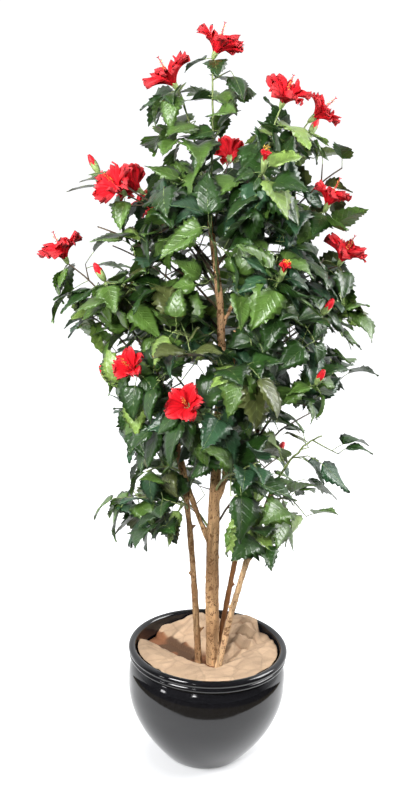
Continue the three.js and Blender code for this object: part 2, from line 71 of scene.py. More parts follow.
# Shoots that show from the front: the limb and the height where the shoot leaves it, then the azimuth
# (0 is +X, 90 is the back), the reach from the centre line and the height of its tip, in millimetres,
# and for an open bloom the azimuth and elevation that it faces, and how wide it has opened.
FRONT_SHOOTS = (
    ("top_shoot", "trunk", 1314, 192, 49, 1655, "bloom", 10, 68),
    ("upper_left_shoot", "trunk", 1262, 202, 128, 1588, "bloom", 190, 55),
    ("upper_right_shoot", "upper_bough", 1249, 344, 104, 1560, "bloom", 310, 62),
    ("high_right_shoot", "upper_bough", 1212, 12, 170, 1534, "bloom", 350, 40, 0.78),
    ("high_left_shoot", "trunk", 1180, 208, 246, 1372, "bloom", 215, 38),
    ("high_far_left_shoot", "trunk", 1205, 178, 286, 1404, "bud"),
    ("high_back_left_shoot", "trunk", 1160, 154, 215, 1360, "bloom", 160, 30),
    ("shoulder_right_shoot", "upper_bough", 1200, 344, 214, 1350, "bloom", 0, 72, 0.8),
    ("right_shoot", "right_bough", 1074, 2, 252, 1226, "bloom", 340, 68),
    ("far_left_shoot", "left_bough", 917, 180, 352, 1206, "bloom", 185, 62),
    ("left_front_shoot", "trunk", 1030, 207, 286, 1190, "bud"),
    ("centre_bud_shoot", "right_bough", 1060, 298, 230, 1216, "closed"),
    ("right_front_shoot", "right_bough", 980, 332, 236, 1132, "bud"),
    ("left_cup_shoot", "left_bough", 800, 219, 232, 995, "bloom", 235, 40, 0.72),
    ("front_bloom_shoot", "trunk", 780, 255, 244, 948, "bloom", 250, 30, 0.8),
    ("upper_front_shoot", "upper_bough", 1215, 294, 160, 1430, "closed"),
    ("right_low_shoot", "right_dark_stem", 830, 326, 246, 985, "bud"),
    ("left_mid_shoot", "left_bough", 880, 176, 306, 1086),
    ("right_mid_shoot", "right_bough", 920, 8, 284, 1130),
    ("left_low_shoot", "left_stem", 800, 186, 200, 880),
    ("right_lower_shoot", "right_pale_stem", 720, 354, 240, 838),
    ("left_lower_shoot", "left_stem", 730, 212, 186, 758),
    ("lowest_left_shoot", "left_stem", 650, 176, 210, 648),
    ("lowest_front_left_shoot", "left_stem", 640, 236, 146, 676),
    ("lowest_front_right_shoot", "right_pale_stem", 630, 300, 172, 672),
    ("lowest_right_shoot", "right_pale_stem", 665, 4, 196, 664),
    ("left_high_shoot", "trunk", 1110, 190, 286, 1296),
    ("upper_far_right_shoot", "upper_bough", 1166, 2, 244, 1440),
    ("right_mid_low_shoot", "right_dark_stem", 800, 14, 268, 990),
    ("front_low_shoot", "trunk", 680, 282, 226, 800),
    ("front_mid_shoot", "right_bough", 880, 282, 250, 1048),
    ("front_left_mid_shoot", "trunk", 960, 246, 246, 1110),
    ("front_high_shoot", "trunk", 1150, 258, 200, 1320),
)

# Shoots at the back, in millimetres and degrees. Their tips climb from the first height to the second,
# and reach out furthest at BACK_WIDEST. Their feet follow them up the trunk between two limits.
BACK_COUNT = 14
BACK_HEIGHTS = (640, 1500)
BACK_AZIMUTHS = (128, 52, 90, 36, 156)
BACK_REACH, BACK_WIDEST, BACK_HALF_HEIGHT = 300, 1060, 640
BACK_DROP, BACK_LOWEST_FOOT, BACK_FOOT_STEP, BACK_HIGHEST_FOOT = 0.6, 575, 9, 1270
BACK_BLOOMS, BACK_BUDS = (10, 12), (1, 4, 7, 13)
BACK_BLOOM_RISE, BACK_BLOOM_OPEN = 30, 0.8

# The eye of the camera. Openings in the crown are strokes in the plane of the trunk: x and height of both
# ends, and half the width, in centimetres. The first shows the trunk, and the others the sky behind.
EYE = np.array((-0.032, -2.4, 1.55))
VIEW_OF_TRUNK = (-4, 131, 0, 105, 1.8)
OPENINGS = (
    # between the topmost sprays
    (2, 163, 2, 163, 1.6),
    (-4, 160, -8, 161, 1.5),
    (-9, 155, -6, 154, 1.3),
    (0, 148, 5, 156, 1.7),
    (0, 147, -1, 143, 1.1),
    (13, 154, 24, 152, 1.6),
    # upper right
    (16, 143, 19, 143, 1.2),
    (23, 143, 29, 142, 1.6),
    (11, 142, 11, 142, 1.0),
    (16, 137, 16, 137, 1.3),
    (23, 129, 23, 129, 1.4),
    (10, 125, 11, 125, 1.2),
    (20, 126, 20, 126, 1.2),
    # upper left
    (-30, 143, -22, 143, 0.9),
    (-32, 136, -28, 136, 1.2),
    (-34, 129, -26, 129, 1.4),
    (-21, 130, -21, 130, 1.3),
    (-34, 122, -29, 122, 1.4),
    (-31, 118, -28, 118, 2.2),
    (-24, 123, -22, 123, 1.7),
    (-13, 120, -13, 120, 1.1),
    (-6, 126, -6, 124, 1.3),
    # middle
    (-23, 106, -23, 106, 1.0),
    (-9, 93, -6, 94, 1.6),
    (-7, 96, -5, 97, 1.8),
    (-3, 88, -2, 84, 0.9),
    (5, 102, 5, 102, 1.1),
    (16, 107, 16, 106, 1.2),
    (14, 102, 14, 102, 1.0),
    (17, 98, 16, 97, 1.2),
    (24, 106, 27, 105, 1.2),
    (16, 90, 16, 90, 1.0),
    (20, 88, 20, 86, 1.1),
    (24, 85, 26, 85, 1.2),
    # the sides under the widest sprays
    (-33, 100, -29, 86, 4.0),
    (-27, 82, -24, 70, 4.0),
    (31, 94, 30, 87, 3.4),
    # low right
    (27, 83, 28, 79, 1.9),
    (17, 80, 24, 80, 1.7),
    (12, 75, 12, 75, 1.3),
    (19, 76, 19, 73, 1.2),
    (21, 66, 27, 66, 1.4),
    (14, 66, 14, 66, 1.3),
    (24, 58, 30, 57, 5.0),
    (7, 49, 11, 48, 2.0),
    # low left and round the stems
    (-12, 66, -12, 66, 1.3),
    (-9, 64, -9, 64, 1.2),
    (-15, 50, -6, 51, 2.0),
    (-4, 64, -2, 45, 3.8),
    (0, 70, 0, 42, 3.0),
)

# Nodes where leaves stand, as shares of a shoot's own twig and of a side twig. The first nodes of a shoot
# carry a side twig each, and a whorl of leaves stands under its bloom.
LEADER_NODES = (0.24, 0.40, 0.55, 0.69, 0.82, 0.92, 0.985)
SIDES = 5
WHORL = 5
SIDE_NODES = (0.42, 0.76)
# How far side twigs and leaves lean out, from 0 along the twig that carries them to 1 straight out, the
# turn round it between two leaves of a node, and the turns that a leaf tries until it has room.
SPREAD, LEAF_SPREAD, WHORL_SPREAD, OPPOSITE = 0.62, 0.72, 1.0, 2.4
ASIDE = (0.0, 0.5, -0.5, 1.0, -1.0, 1.6, -1.6)
# Radii of a shoot's own twig and of a side twig, at foot and tip, and how far the first one wanders.
LEADER_RADII, SIDE_RADII, WANDER = (0.0031, 0.0017), (0.0019, 0.0011), 0.0012
LEADER_POINTS, SIDE_POINTS = 15, 7

# Shoots this near the stems, or this far to the front, have green twigs, and the others brown ones.
GREEN_REACH, GREEN_FRONT = 0.24, -0.12

# A leaf's corners: stations along its midrib, with a tooth between each two. A few leaves have a lobe too.
STATIONS = np.array((0.0, 0.09, 0.21, 0.34, 0.48, 0.62, 0.76, 0.89, 1.0))
CELLS = len(STATIONS) - 1
TOOTH_FORWARD, TOOTH_LENGTH = 0.74, 0.046
TOOTH_SIZES = np.array((0.0, 0.5, 1.0, 1.15, 1.0, 0.9, 0.7, 0.15))
LOBES = np.array((0, 0, 0, 0.09, 0, 0, 0, 0))
SHARE_LOBED = 0.3
# The blade's edge between two teeth, and its middle corners, as shares of the half width there.
EDGE_SHARE, MIDDLE_SHARE = 0.93, 0.52

# How far apart the seeds of two shoots are, for their leaves and for their flowers.
LEAF_SEEDS, FLOWER_SEEDS = 7919, 131

TINTS = ("deep", "mid", "fresh", "blue", "olive")
VEINS_PER_LEAF = 6


# ---------------------------------------------------------------- sizes and colours

def length(name, description, default):
    return FloatProperty(name=name, description=description, default=default, unit="LENGTH", precision=4)


def colour(name, description, default):
    return FloatVectorProperty(
        name=name, description=description, default=default, subtype="COLOR", min=0, max=1
    )


class HibiscusSizes(bpy.types.PropertyGroup):
    """Sizes of the plant, its pot and the paper in it."""

    leaf_length: length("Leaf length", "Blade of a full leaf, from petiole to tip", 0.093)
    leaf_width: length("Leaf width", "Blade of a full leaf at its widest", 0.067)
    leaf_thick: length("Leaf thickness", "Thickness of a leaf at its midrib", 0.0012)
    petiole: length("Petiole", "Stalk between twig and blade", 0.027)
    side_twig: length("Side twig", "Length of the longest side twigs", 0.098)
    bloom_length: length("Bloom length", "From the foot of a bloom to the rim of its petals", 0.050)
    bloom_radius: length("Bloom radius", "Half the width of an open bloom", 0.053)
    pistil: length("Pistil", "From the foot of a bloom to the tip of its pistil", 0.075)
    bud: length("Bud", "Length of a closed bud", 0.046)
    bark_relief: length("Bark relief", "Depth of the furrows in the wood", 0.0011)
    pot_foot: length("Pot foot", "Radius of the flat underside", 0.4936 * POT_RIM)
    pot_belly: length("Pot belly", "Radius where the pot is widest", 0.99 * POT_RIM)
    pot_neck: length("Pot neck", "Radius under the rim", 0.915 * POT_RIM)
    pot_wall: length("Pot wall", "Thickness of the wall", 0.010)
    pot_bead: length("Pot bead", "Radius of the rolled rim", 0.009)
    seed: IntProperty(name="Seed", description="Start of the random numbers", default=11, min=0)


class HibiscusColours(bpy.types.PropertyGroup):
    """Colours of the plant, its pot and the paper in it."""

    deep: colour("Deep leaves", "Most leaves", (0.020, 0.060, 0.009))
    mid: colour("Mid leaves", "Lighter leaves", (0.084, 0.165, 0.028))
    fresh: colour("Fresh leaves", "Young yellow-green leaves", (0.200, 0.310, 0.066))
    blue: colour("Blue-green leaves", "Leaves with a bluish cast", (0.028, 0.080, 0.034))
    olive: colour("Olive leaves", "A few leaves with a brown cast", (0.090, 0.110, 0.030))
    underside: colour("Leaf underside", "Back of all leaves", (0.125, 0.190, 0.070))
    midrib: colour("Midribs and petioles", "Stalks and midribs", (0.240, 0.320, 0.110))
    green_twig: colour("Green twigs", "Twigs of the inner shoots", (0.240, 0.300, 0.110))
    brown_twig: colour("Brown twigs", "Twigs of the outer shoots", (0.085, 0.058, 0.034))
    petal: colour("Petals", "Blade of a petal", (0.740, 0.014, 0.024))
    petal_edge: colour("Petal edge", "Outer edge of a petal", (0.760, 0.070, 0.080))
    throat: colour("Throat", "Foot of a petal", (0.400, 0.005, 0.012))
    anther: colour("Anthers", "Pollen on the pistil", (0.720, 0.420, 0.060))
    wood: colour("Wood", "Trunk and boughs", (0.480, 0.300, 0.155))
    # Painted light: a paler wood that lifts the shade the crown casts on the trunk.
    painted_light_wood: colour("Upper wood", "Bare wood of the trunk inside the crown", (0.940, 0.560, 0.300))
    pale_wood: colour("Pale wood", "The pale stem at the right", (0.500, 0.335, 0.190))
    dark_wood: colour("Dark wood", "The dark stem at the right", (0.160, 0.072, 0.029))
    speck: colour("Specks", "Dark specks and knots in the wood", (0.110, 0.055, 0.025))
    # Painted shade: a reddish brown that stands for the shade deep in the paper's folds, not a colour of the
    # paper.
    fold: colour("Paper folds", "Kraft paper deep in its folds", (0.180, 0.060, 0.022))
    paper: colour("Kraft paper", "Kraft paper", (0.480, 0.337, 0.222))
    glaze: colour("Glaze", "Glaze of the pot", (0.005, 0.005, 0.006))
    # Painted shade: the plug is painted dark because it lies in shade deep under the paper.
    plaster: colour("Plaster", "Plug in the pot", (0.120, 0.095, 0.070))
    floor: colour("Floor", "White floor of the stage", (0.600, 0.605, 0.615))
    dark_floor: colour("Dark floor", "Dark floor that the glaze mirrors", (0.110, 0.092, 0.055))


def sizes():
    return bpy.context.scene.hibiscus_sizes


def colours():
    return bpy.context.scene.hibiscus_colours


# ---------------------------------------------------------------- materials

class Finish:
    """A material that is built node by node around one Principled shader."""

    def __init__(self, name, base, roughness, **constants):
        self.material = bpy.data.materials.new(name)
        self.material.use_nodes = True
        self.tree = self.material.node_tree
        self.shader = self.tree.nodes["Principled BSDF"]
        self.shader.inputs["Base Color"].default_value = (*base, 1)
        self.shader.inputs["Roughness"].default_value = roughness
        for socket, value in constants.items():
            self.shader.inputs[socket.replace("_", " ").title().replace("Ior", "IOR")].default_value = value
        self.coordinates = self.add("ShaderNodeTexCoord").outputs["Object"]

    def add(self, kind, **values):
        """Adds a node. A value whose name is an input sets or links that input, and any other the node."""
        node = self.tree.nodes.new(kind)
        for name, value in values.items():
            socket = name.replace("_", " ").title()
            if socket not in node.inputs:
                setattr(node, name, value)
            elif isinstance(value, bpy.types.NodeSocket):
                self.tree.links.new(value, node.inputs[socket])
            else:
                node.inputs[socket].default_value = value
        return node

    def stretched(self, scale):
        return self.add("ShaderNodeMapping", vector=self.coordinates, scale=scale).outputs["Vector"]

    def noise(self, scale, detail=4.0, roughness=0.55, vector=None):
        vector = vector or self.coordinates
        node = self.add("ShaderNodeTexNoise", vector=vector, scale=scale, detail=detail, roughness=roughness)
        return node.outputs["Fac"]

    def cells(self, scale, output="Distance", **values):
        node = self.add("ShaderNodeTexVoronoi", vector=self.coordinates, scale=scale, **values)
        return node.outputs[output]

    def maths(self, operation, first, second):
        """first is a socket, and second a socket or a number."""
        node = self.add("ShaderNodeMath", operation=operation)
        self.tree.links.new(first, node.inputs[0])
        if isinstance(second, bpy.types.NodeSocket):
            self.tree.links.new(second, node.inputs[1])
        else:
            node.inputs[1].default_value = second
        return node.outputs[0]

    def height(self):
        parts = self.add("ShaderNodeSeparateXYZ")
        self.tree.links.new(self.coordinates, parts.inputs[0])
        return parts.outputs["Z"]

    def waves(self, place, count):
        """Narrow ridges, count of them for each unit of the place."""
        slope = self.maths("PINGPONG", self.maths("MULTIPLY", place, count), 0.5)
        return self.ramp(slope, (0, 1.0), (0.16, 0.0))

    def ramp(self, factor, *stops):
        """Colours or greys by place, each stop a place and a colour."""
        node = self.add("ShaderNodeValToRGB")
        self.tree.links.new(factor, node.inputs["Fac"])
        elements = node.color_ramp.elements
        while len(elements) < len(stops):
            elements.new(0.5)
        for element, (place, tone) in zip(elements, stops):
            element.position = place
            element.color = (*tone, 1) if hasattr(tone, "__len__") else (tone, tone, tone, 1)
        return node.outputs["Color"]

    def mottled(self, factor, tone, low, high, start=0.3, end=0.7):
        """The tone, times low where the factor is small and times high where it is large."""
        return self.ramp(factor, (start, shade(tone, low)), (end, shade(tone, high)))

    def mixed(self, factor, first, second, blend="MIX"):
        """first and second are sockets or colours."""
        node = self.add("ShaderNodeMix", data_type="RGBA", blend_type=blend)
        for socket, value in ((node.inputs[0], factor), (node.inputs[6], first), (node.inputs[7], second)):
            if isinstance(value, bpy.types.NodeSocket):
                self.tree.links.new(value, socket)
            elif hasattr(value, "__len__"):
                socket.default_value = (*value, 1)
            else:
                socket.default_value = value
        return node.outputs[2]

    def paint(self, tone):
        self.tree.links.new(tone, self.shader.inputs["Base Color"])

    def roughen(self, factor, low, high):
        self.tree.links.new(self.ramp(factor, (0, low), (1, high)), self.shader.inputs["Roughness"])

    def bump(self, height, distance, strength=1.0):
        node = self.add("ShaderNodeBump", height=height, distance=distance, strength=strength)
        previous = self.shader.inputs["Normal"].links
        if previous:
            self.tree.links.new(previous[0].from_socket, node.inputs["Normal"])
        self.tree.links.new(node.outputs["Normal"], self.shader.inputs["Normal"])


def shade(tone, factor):
    return tuple(min(1.0, factor * part) for part in tone)


def leaf_finish(name, tone):
    """Silk with a printed sheen: paler side veins, and a tone of its own for each leaf."""
    finish = Finish(name, tone, 0.4, specular_ior_level=0.85)
    parts = finish.add("ShaderNodeSeparateXYZ")
    blade = finish.add("ShaderNodeAttribute", attribute_name="blade").outputs["Vector"]
    finish.tree.links.new(blade, parts.inputs[0])
    along, aside, own = (parts.outputs[axis] for axis in "XYZ")
    vein = finish.waves(finish.maths("SUBTRACT", along, aside), VEINS_PER_LEAF)
    blotches = finish.mottled(finish.noise(34, detail=3), tone, 0.7, 1.35, end=0.72)
    by_leaf = finish.mixed(1.0, blotches, finish.ramp(own, (0, 0.72), (1, 1.0)), "MULTIPLY")
    finish.paint(finish.mixed(finish.ramp(vein, (0, 0.0), (1, 0.3)), by_leaf, shade(tone, 1.7)))
    finish.roughen(finish.noise(120, detail=2), 0.30, 0.48)
    finish.bump(vein, 0.0010, 0.5)
    finish.bump(finish.noise(70, detail=2), 0.0035, 0.5)
    finish.bump(finish.noise(600, detail=2), 0.0004, 0.4)
    return finish.material


def underside_finish(tone):
    """The matt back of a silk leaf, with the weave of its cloth."""
    finish = Finish("leaf_underside", tone, 0.62, specular_ior_level=0.35)
    finish.paint(finish.mottled(finish.noise(45), tone, 0.75, 1.25))
    finish.bump(finish.noise(900, detail=2), 0.0003, 0.6)
    return finish.material


def stalk_finish(name, tone):
    """Moulded twigs, petioles, calyxes, buds and anthers."""
    finish = Finish(name, tone, 0.5)
    finish.paint(finish.mottled(finish.noise(60), tone, 0.7, 1.35))
    finish.bump(finish.noise(700), 0.0004, 0.6)
    return finish.material


def petal_finish():
    """Red silk: a dark throat, a pale edge and streaks that run out along each petal."""
    tones = colours()
    finish = Finish("silk_petal", tones.petal, 0.55, specular_ior_level=0.08)
    petal = finish.add("ShaderNodeAttribute", attribute_name="petal").outputs["Vector"]
    parts = finish.add("ShaderNodeSeparateXYZ")
    finish.tree.links.new(petal, parts.inputs[0])
    stops = (0.08, tones.throat), (0.4, tones.petal), (0.8, tones.petal), (1, tones.petal_edge)
    by_place = finish.ramp(parts.outputs["X"], *stops)
    lengthwise = finish.add("ShaderNodeMapping", vector=petal, scale=(0.5, 6, 3)).outputs["Vector"]
    streaks = finish.noise(2.6, detail=3, vector=lengthwise)
    finish.paint(finish.mixed(1.0, by_place, finish.ramp(streaks, (0.36, 0.62), (0.62, 1.0)), "MULTIPLY"))
    finish.bump(streaks, 0.003, 0.5)
    return finish.material


def column_finish():
    tone = colours().petal_edge
    finish = Finish("pistil", tone, 0.5)
    finish.paint(finish.mottled(finish.noise(200), tone, 0.7, 1.0))
    return finish.material


def wood_finish(name, tone, patch, upper=None):
    """Dry bark: streaks along the stem, brown patches and dark specks. Patch is how brown the patches are.
    The upper tone, a paler wood painted as light to lift the crown's shade off the trunk, starts in the
    crown."""
    specks = colours().speck
    finish = Finish(name, tone, 0.78, specular_ior_level=0.25)
    streaks = finish.noise(75, detail=6, vector=finish.stretched((1, 1, 0.12)))
    base = finish.ramp(streaks, (0.32, shade(tone, 0.40)), (0.5, tone), (0.68, shade(tone, 1.55)))
    blots = finish.noise(16, detail=3, vector=finish.stretched((1, 1, 0.45)))
    patches = finish.ramp(blots, (0.47, 0.0), (0.62, patch))
    brown = finish.mixed(patches, base, shade(colours().dark_wood, 1.1))
    if upper:
        # Painted light: the trunk turns paler up in the crown, where the leaves shade it.
        high = finish.ramp(finish.height(), (0.90, 0.0), (1.0, 0.85))
        brown = finish.mixed(high, brown, finish.mottled(streaks, upper, 0.55, 1.0))
    fine = finish.noise(330, detail=2, vector=finish.stretched((1, 1, 0.4)))
    dots = finish.ramp(fine, (0.59, 0.0), (0.64, 0.95))
    coarse = finish.ramp(finish.noise(85, detail=2), (0.575, 0.0), (0.635, 0.9))
    spotted = finish.mixed(dots, brown, specks)
    finish.paint(finish.mixed(coarse, spotted, shade(specks, 1.6)))
    finish.bump(streaks, 0.0022, 0.8)
    finish.bump(fine, 0.0006, 0.6)
    return finish.material


def paper_finish():
    """Kraft paper: painted shade in dark crease lines, facet tones and brown deep folds, and a grain of
    fibres.
    """
    tone, deep = colours().paper, colours().fold
    finish = Finish("kraft_paper", tone, 0.82, specular_ior_level=0.2)
    fibres = finish.noise(420, detail=5, vector=finish.stretched((1, 0.35, 1)))
    base = finish.mottled(finish.noise(14, detail=4), tone, 0.84, 1.12)
    # Painted shade: each facet is darker or lighter and the creases darker, as light would fall on crumpled
    # paper.
    for scale, crease_shade in ((13, 0.8), (34, 0.93)):
        edge = finish.cells(scale, feature="DISTANCE_TO_EDGE")
        facet_shade = finish.cells(scale, "Color")
        base = finish.mixed(1.0, base, finish.ramp(edge, (0.004, crease_shade), (0.05, 1.0)), "MULTIPLY")
        base = finish.mixed(1.0, base, finish.ramp(facet_shade, (0.3, 0.84), (0.7, 1.0)), "MULTIPLY")
    # Painted shade: the fold colour, darker in blotches, is laid where the paper lies deep in its folds,
    # round the stems and in the pleats' grooves.
    dark = finish.mottled(finish.noise(16, detail=1), deep, 0.25, 1.0, 0.44, 0.52)
    painted_fold_shade = finish.add("ShaderNodeAttribute", attribute_name="fold").outputs["Fac"]
    base = finish.mixed(painted_fold_shade, base, dark)
    finish.paint(finish.mixed(0.12, base, finish.mottled(fibres, tone, 0.7, 1.3)))
    finish.bump(fibres, 0.0003, 0.5)
    finish.bump(finish.cells(26), 0.004, 0.7)
    return finish.material


def glaze_finish():
    """Black glaze, with a faint orange-peel surface and a few tiny pits."""
    tone = colours().glaze
    finish = Finish("black_glaze", tone, 0.06, ior=1.5)
    finish.paint(finish.mottled(finish.noise(260, detail=2), tone, 1.0, 2.6, 0.45, 0.8))
    finish.roughen(finish.noise(24), 0.05, 0.1)
    finish.bump(finish.noise(30, detail=2), 0.0006, 0.12)
    return finish.material


def shaded_plaster_finish():
    # Painted shade: the plug's dark tone stands for the shade deep in the pot.
    tone = colours().plaster
    finish = Finish("plaster", tone, 0.9, specular_ior_level=0.2)
    finish.paint(finish.mottled(finish.noise(60), tone, 0.7, 1.2))
    finish.bump(finish.noise(180), 0.001, 0.8)
    return finish.material


# ---------------------------------------------------------------- making pieces

def select_only(piece):
    bpy.ops.object.select_all(action="DESELECT")
    piece.select_set(True)
    bpy.context.view_layer.objects.active = piece


def edit(piece):
    """Edit mode with all of the piece selected."""
    select_only(piece)
    bpy.ops.object.mode_set(mode="EDIT")
    bpy.ops.mesh.select_all(action="SELECT")


def leave_edit():
    bpy.ops.object.mode_set(mode="OBJECT")


def apply_modifier(piece, kind, **settings):
    select_only(piece)
    modifier = piece.modifiers.new(kind.lower(), kind)
    for name, value in settings.items():
        setattr(modifier, name, value)
    bpy.ops.object.modifier_apply(modifier=modifier.name)


def corners_of(piece):
    flat = np.empty(3 * len(piece.data.vertices), np.float32)
    piece.data.vertices.foreach_get("co", flat)
    return flat.reshape(-1, 3).astype(float)


def normals_of(piece):
    flat = np.empty(3 * len(piece.data.vertices), np.float32)
    piece.data.vertices.foreach_get("normal", flat)
    return flat.reshape(-1, 3).astype(float)


def move_corners(piece, corners):
    piece.data.vertices.foreach_set("co", corners.astype(np.float32).ravel())
    piece.data.update()


def close_and_turn_out(piece):
    """Merges the doubles and turns all faces outwards."""
    edit(piece)
    bpy.ops.mesh.remove_doubles(threshold=1e-6)
    bpy.ops.mesh.normals_make_consistent(inside=False)
    leave_edit()


def hand_over(piece, name, finishes, slot, *nodes, smooth=True):
    """Names a finished piece, gives it its materials and its body, and hides the nodes that it stands for.
    """
    piece.name = piece.data.name = name
    if smooth:
        piece.data.shade_smooth()
    piece.data.materials.clear()
    for finish in finishes:
        piece.data.materials.append(finish)
    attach(piece, BODY)
    if nodes:
        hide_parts(*nodes)


class Joined:
    """Many small shapes that become one mesh."""

    def __init__(self):
        self.corners, self.faces, self.slots, self.values, self.count = [], [], [], [], 0

    def add(self, corners, faces, slots=None, values=None):
        self.corners.append(corners)
        self.faces.extend([tuple(corner + self.count for corner in face) for face in faces])
        self.slots.extend(slots or [0] * len(faces))
        self.values.append(values if values is not None else np.zeros(len(corners)))
        self.count += len(corners)

    def tube(self, points, radii, sides):
        self.add(*tube(points, radii, sides))

    def piece(self, attribute=None):
        mesh = bpy.data.meshes.new("joined")
        mesh.from_pydata(np.concatenate(self.corners).tolist(), [], self.faces)
        mesh.polygons.foreach_set("material_index", self.slots)
        if attribute:
            values = np.concatenate(self.values).astype(np.float32)
            kind, key = ("FLOAT_VECTOR", "vector") if values.ndim == 2 else ("FLOAT", "value")
            mesh.attributes.new(attribute, kind, "POINT").data.foreach_set(key, values.ravel())
        mesh.update()
        piece = bpy.data.objects.new("joined", mesh)
        bpy.context.scene.collection.objects.link(piece)
        return piece


def tube(points, radii, sides):
    """Corners and faces of a closed tube along the points, with a pointed cap at each end."""
    points = np.asarray(points, float)
    along = np.gradient(points, axis=0)
    along /= np.linalg.norm(along, axis=1)[:, None]
    across = unit(np.cross(along[0], FRONT if abs(along[0][2]) > 0.9 else UP))
    angles = np.arange(sides) * 2 * math.pi / sides
    rings = []
    for point, way, radius in zip(points, along, radii):
        across = unit(across - way * np.dot(across, way))
        over = np.cross(way, across)
        rings.append(point + radius * (np.outer(np.cos(angles), across) + np.outer(np.sin(angles), over)))
    ends = [points[0] - along[0] * radii[0] * 0.5, points[-1] + along[-1] * radii[-1]]
    corners = np.concatenate(rings + [np.array(ends)])
    last = len(points) * sides
    faces = []
    for side in range(sides):
        following = (side + 1) % sides
        faces += [(row + side, row + following, row + sides + following, row + sides + side)
                  for row in range(0, last - sides, sides)]
        faces.append((side, last, following))
        faces.append((last - sides + side, last - sides + following, last + 1))
    return corners, faces


# ---------------------------------------------------------------- directions

def unit(vector):
    return vector / np.linalg.norm(vector)


def turned(vector, axis, angle):
    """The vector turned about a unit axis."""
    across = np.cross(axis, vector)
    kept = axis * np.dot(axis, vector) * (1 - math.cos(angle))
    return vector * math.cos(angle) + across * math.sin(angle) + kept


def on_circle(azimuth, reach, height):
    angle = math.radians(azimuth)
    return np.array((reach * math.cos(angle), reach * math.sin(angle), height))


def round_x(angle, reach):
    """A place in the plane across +X."""
    return on_circle(angle, reach, 0)[[2, 0, 1]]


def heading(azimuth, elevation):
    angle = math.radians(elevation)
    return on_circle(azimuth, math.cos(angle), math.sin(angle))


def leaving(along, turn, spread, sag):
    """The way that a leaf or a side twig leaves its twig."""
    out = turned(unit(np.cross(along, UP)), along, turn)
    return unit(along * (1 - spread) + out * spread - UP * sag)


def placing(direction, roll=0.0, outlook=UP):
    """Three axes, one a row: along the direction, across it, and over it, as near the outlook as can be."""
    along = unit(direction)
    across = turned(unit(np.cross(FRONT if abs(along @ outlook) > 0.98 else outlook, along)), along, roll)
    return np.array((along, across, np.cross(along, across)))


def outlook(place):
    """Where leaves look: up, and away from the middle of the crown."""
    away = np.array((place[0], place[1], 0))
    return unit(0.95 * UP + 0.45 * away / max(np.linalg.norm(away), 0.03))


# ---------------------------------------------------------------- stems and boughs

FEWEST_IN_RING = 9


def limb_axis(node):
    """Centres and radii of the level rings of a limb's solid, from its foot to its tip."""
    corners = np.unique(np.round([tuple(v.co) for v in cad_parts[node].data.vertices], 5), axis=0)
    heights = np.round(corners[:, 2], 4)
    rings = [corners[heights == height] for height in np.unique(heights)]
    rings = [ring for ring in rings if len(ring) >= FEWEST_IN_RING]
    centres = np.array([ring.mean(axis=0) for ring in rings])
    radii = np.array([np.linalg.norm(ring - ring.mean(axis=0), axis=1).max() for ring in rings])
    return centres, radii


def on_axis(centres, height):
    return np.array([np.interp(height, centres[:, 2], centres[:, k]) for k in range(3)])


def limb_axes():
    """The axes of all limbs, with the boughs' drawn down into the trunk."""
    axes = {name: limb_axis(name) for name in ("trunk", *STEMS, *BOUGHS)}
    for name, height in BOUGHS.items():
        centres, radii = axes[name]
        foot = on_axis(axes["trunk"][0], height)
        axes[name] = (np.vstack((foot, centres)), np.append(radii[0], radii))
    return axes


LIMBS = limb_axes()
LIMB_FACETS = 24
RING_STEP = 0.012
VOXEL = 0.0019
KNOTS_PER_METRE = 16
# The bark's furrows, small cracks and swellings: depth as a share of the relief, and how many to the metre
# across and along the limb.
BARK_WAVES = ((1.0, 190, 34), (0.55, 420, 120), (1.1, 30, 22))
BARK_OFF_PLUG = 0.0003
# The trunk stays thick up to its first fork: how much, at which height, and over what reach.
SWELLING, SWELLING_HEIGHT, SWELLING_REACH = 0.0017, 0.47, 0.20

# Stubs of cut twigs: the limb, the height and azimuth where they stand, and their length, in millimetres.
# All lean up at the same angle and have the same radii at foot and tip.
STUB_RISE, STUB_RADII = 38, (0.0052, 0.0026)
STUBS = (
    ("trunk", 452, 200, 9),
    ("trunk", 505, 345, 8),
    ("left_stem", 322, 12, 13),
    ("left_stem", 470, 195, 9),
    ("left_stem", 590, 10, 10),
    ("right_dark_stem", 430, 350, 8),
    ("right_dark_stem", 548, 200, 9),
    ("right_pale_stem", 392, 190, 8),
    ("right_pale_stem", 520, 355, 9),
)


def drawn_limb(name):
    """A limb drawn out of a disc, ring by ring up its axis."""
    centres, radii = LIMBS[name]
    count = int((centres[-1][2] - centres[0][2]) / RING_STEP)
    heights = np.linspace(centres[0][2], centres[-1][2], count)
    path = [Vector(on_axis(centres, height)) for height in heights]
    widths = np.interp(heights, centres[:, 2], radii)
    if name == "trunk":
        widths += SWELLING * np.exp(-((heights - SWELLING_HEIGHT) / SWELLING_REACH) ** 2)
    bpy.ops.object.select_all(action="DESELECT")
    bpy.ops.mesh.primitive_circle_add(
        vertices=LIMB_FACETS, radius=widths[0], fill_type="NGON", location=path[0]
    )
    piece = bpy.context.object
    bpy.ops.object.transform_apply(location=True, rotation=True, scale=True)
    edit(piece)
    for low, high, before, after in zip(path, path[1:], widths, widths[1:]):
        bpy.ops.mesh.extrude_region_move(TRANSFORM_OT_translate={"value": high - low})
        bpy.ops.transform.resize(value=(after / before, after / before, 1), center_override=high)
    leave_edit()
    close_and_turn_out(piece)
    return piece


def knots(name, rng):
    """Places, sizes and heights of the knots on a limb."""
    centres, radii = LIMBS[name]
    reach = centres[-1][2] - centres[0][2]
    found = []
    for height in centres[0][2] + reach * np.sort(rng.random(int(reach * KNOTS_PER_METRE))):
        radius = np.interp(height, centres[:, 2], radii)
        place = on_axis(centres, height) + on_circle(rng.uniform(0, 360), radius, 0)
        found.append((place, radius * rng.uniform(0.28, 0.55), radius * rng.uniform(0.12, 0.3)))
    return found


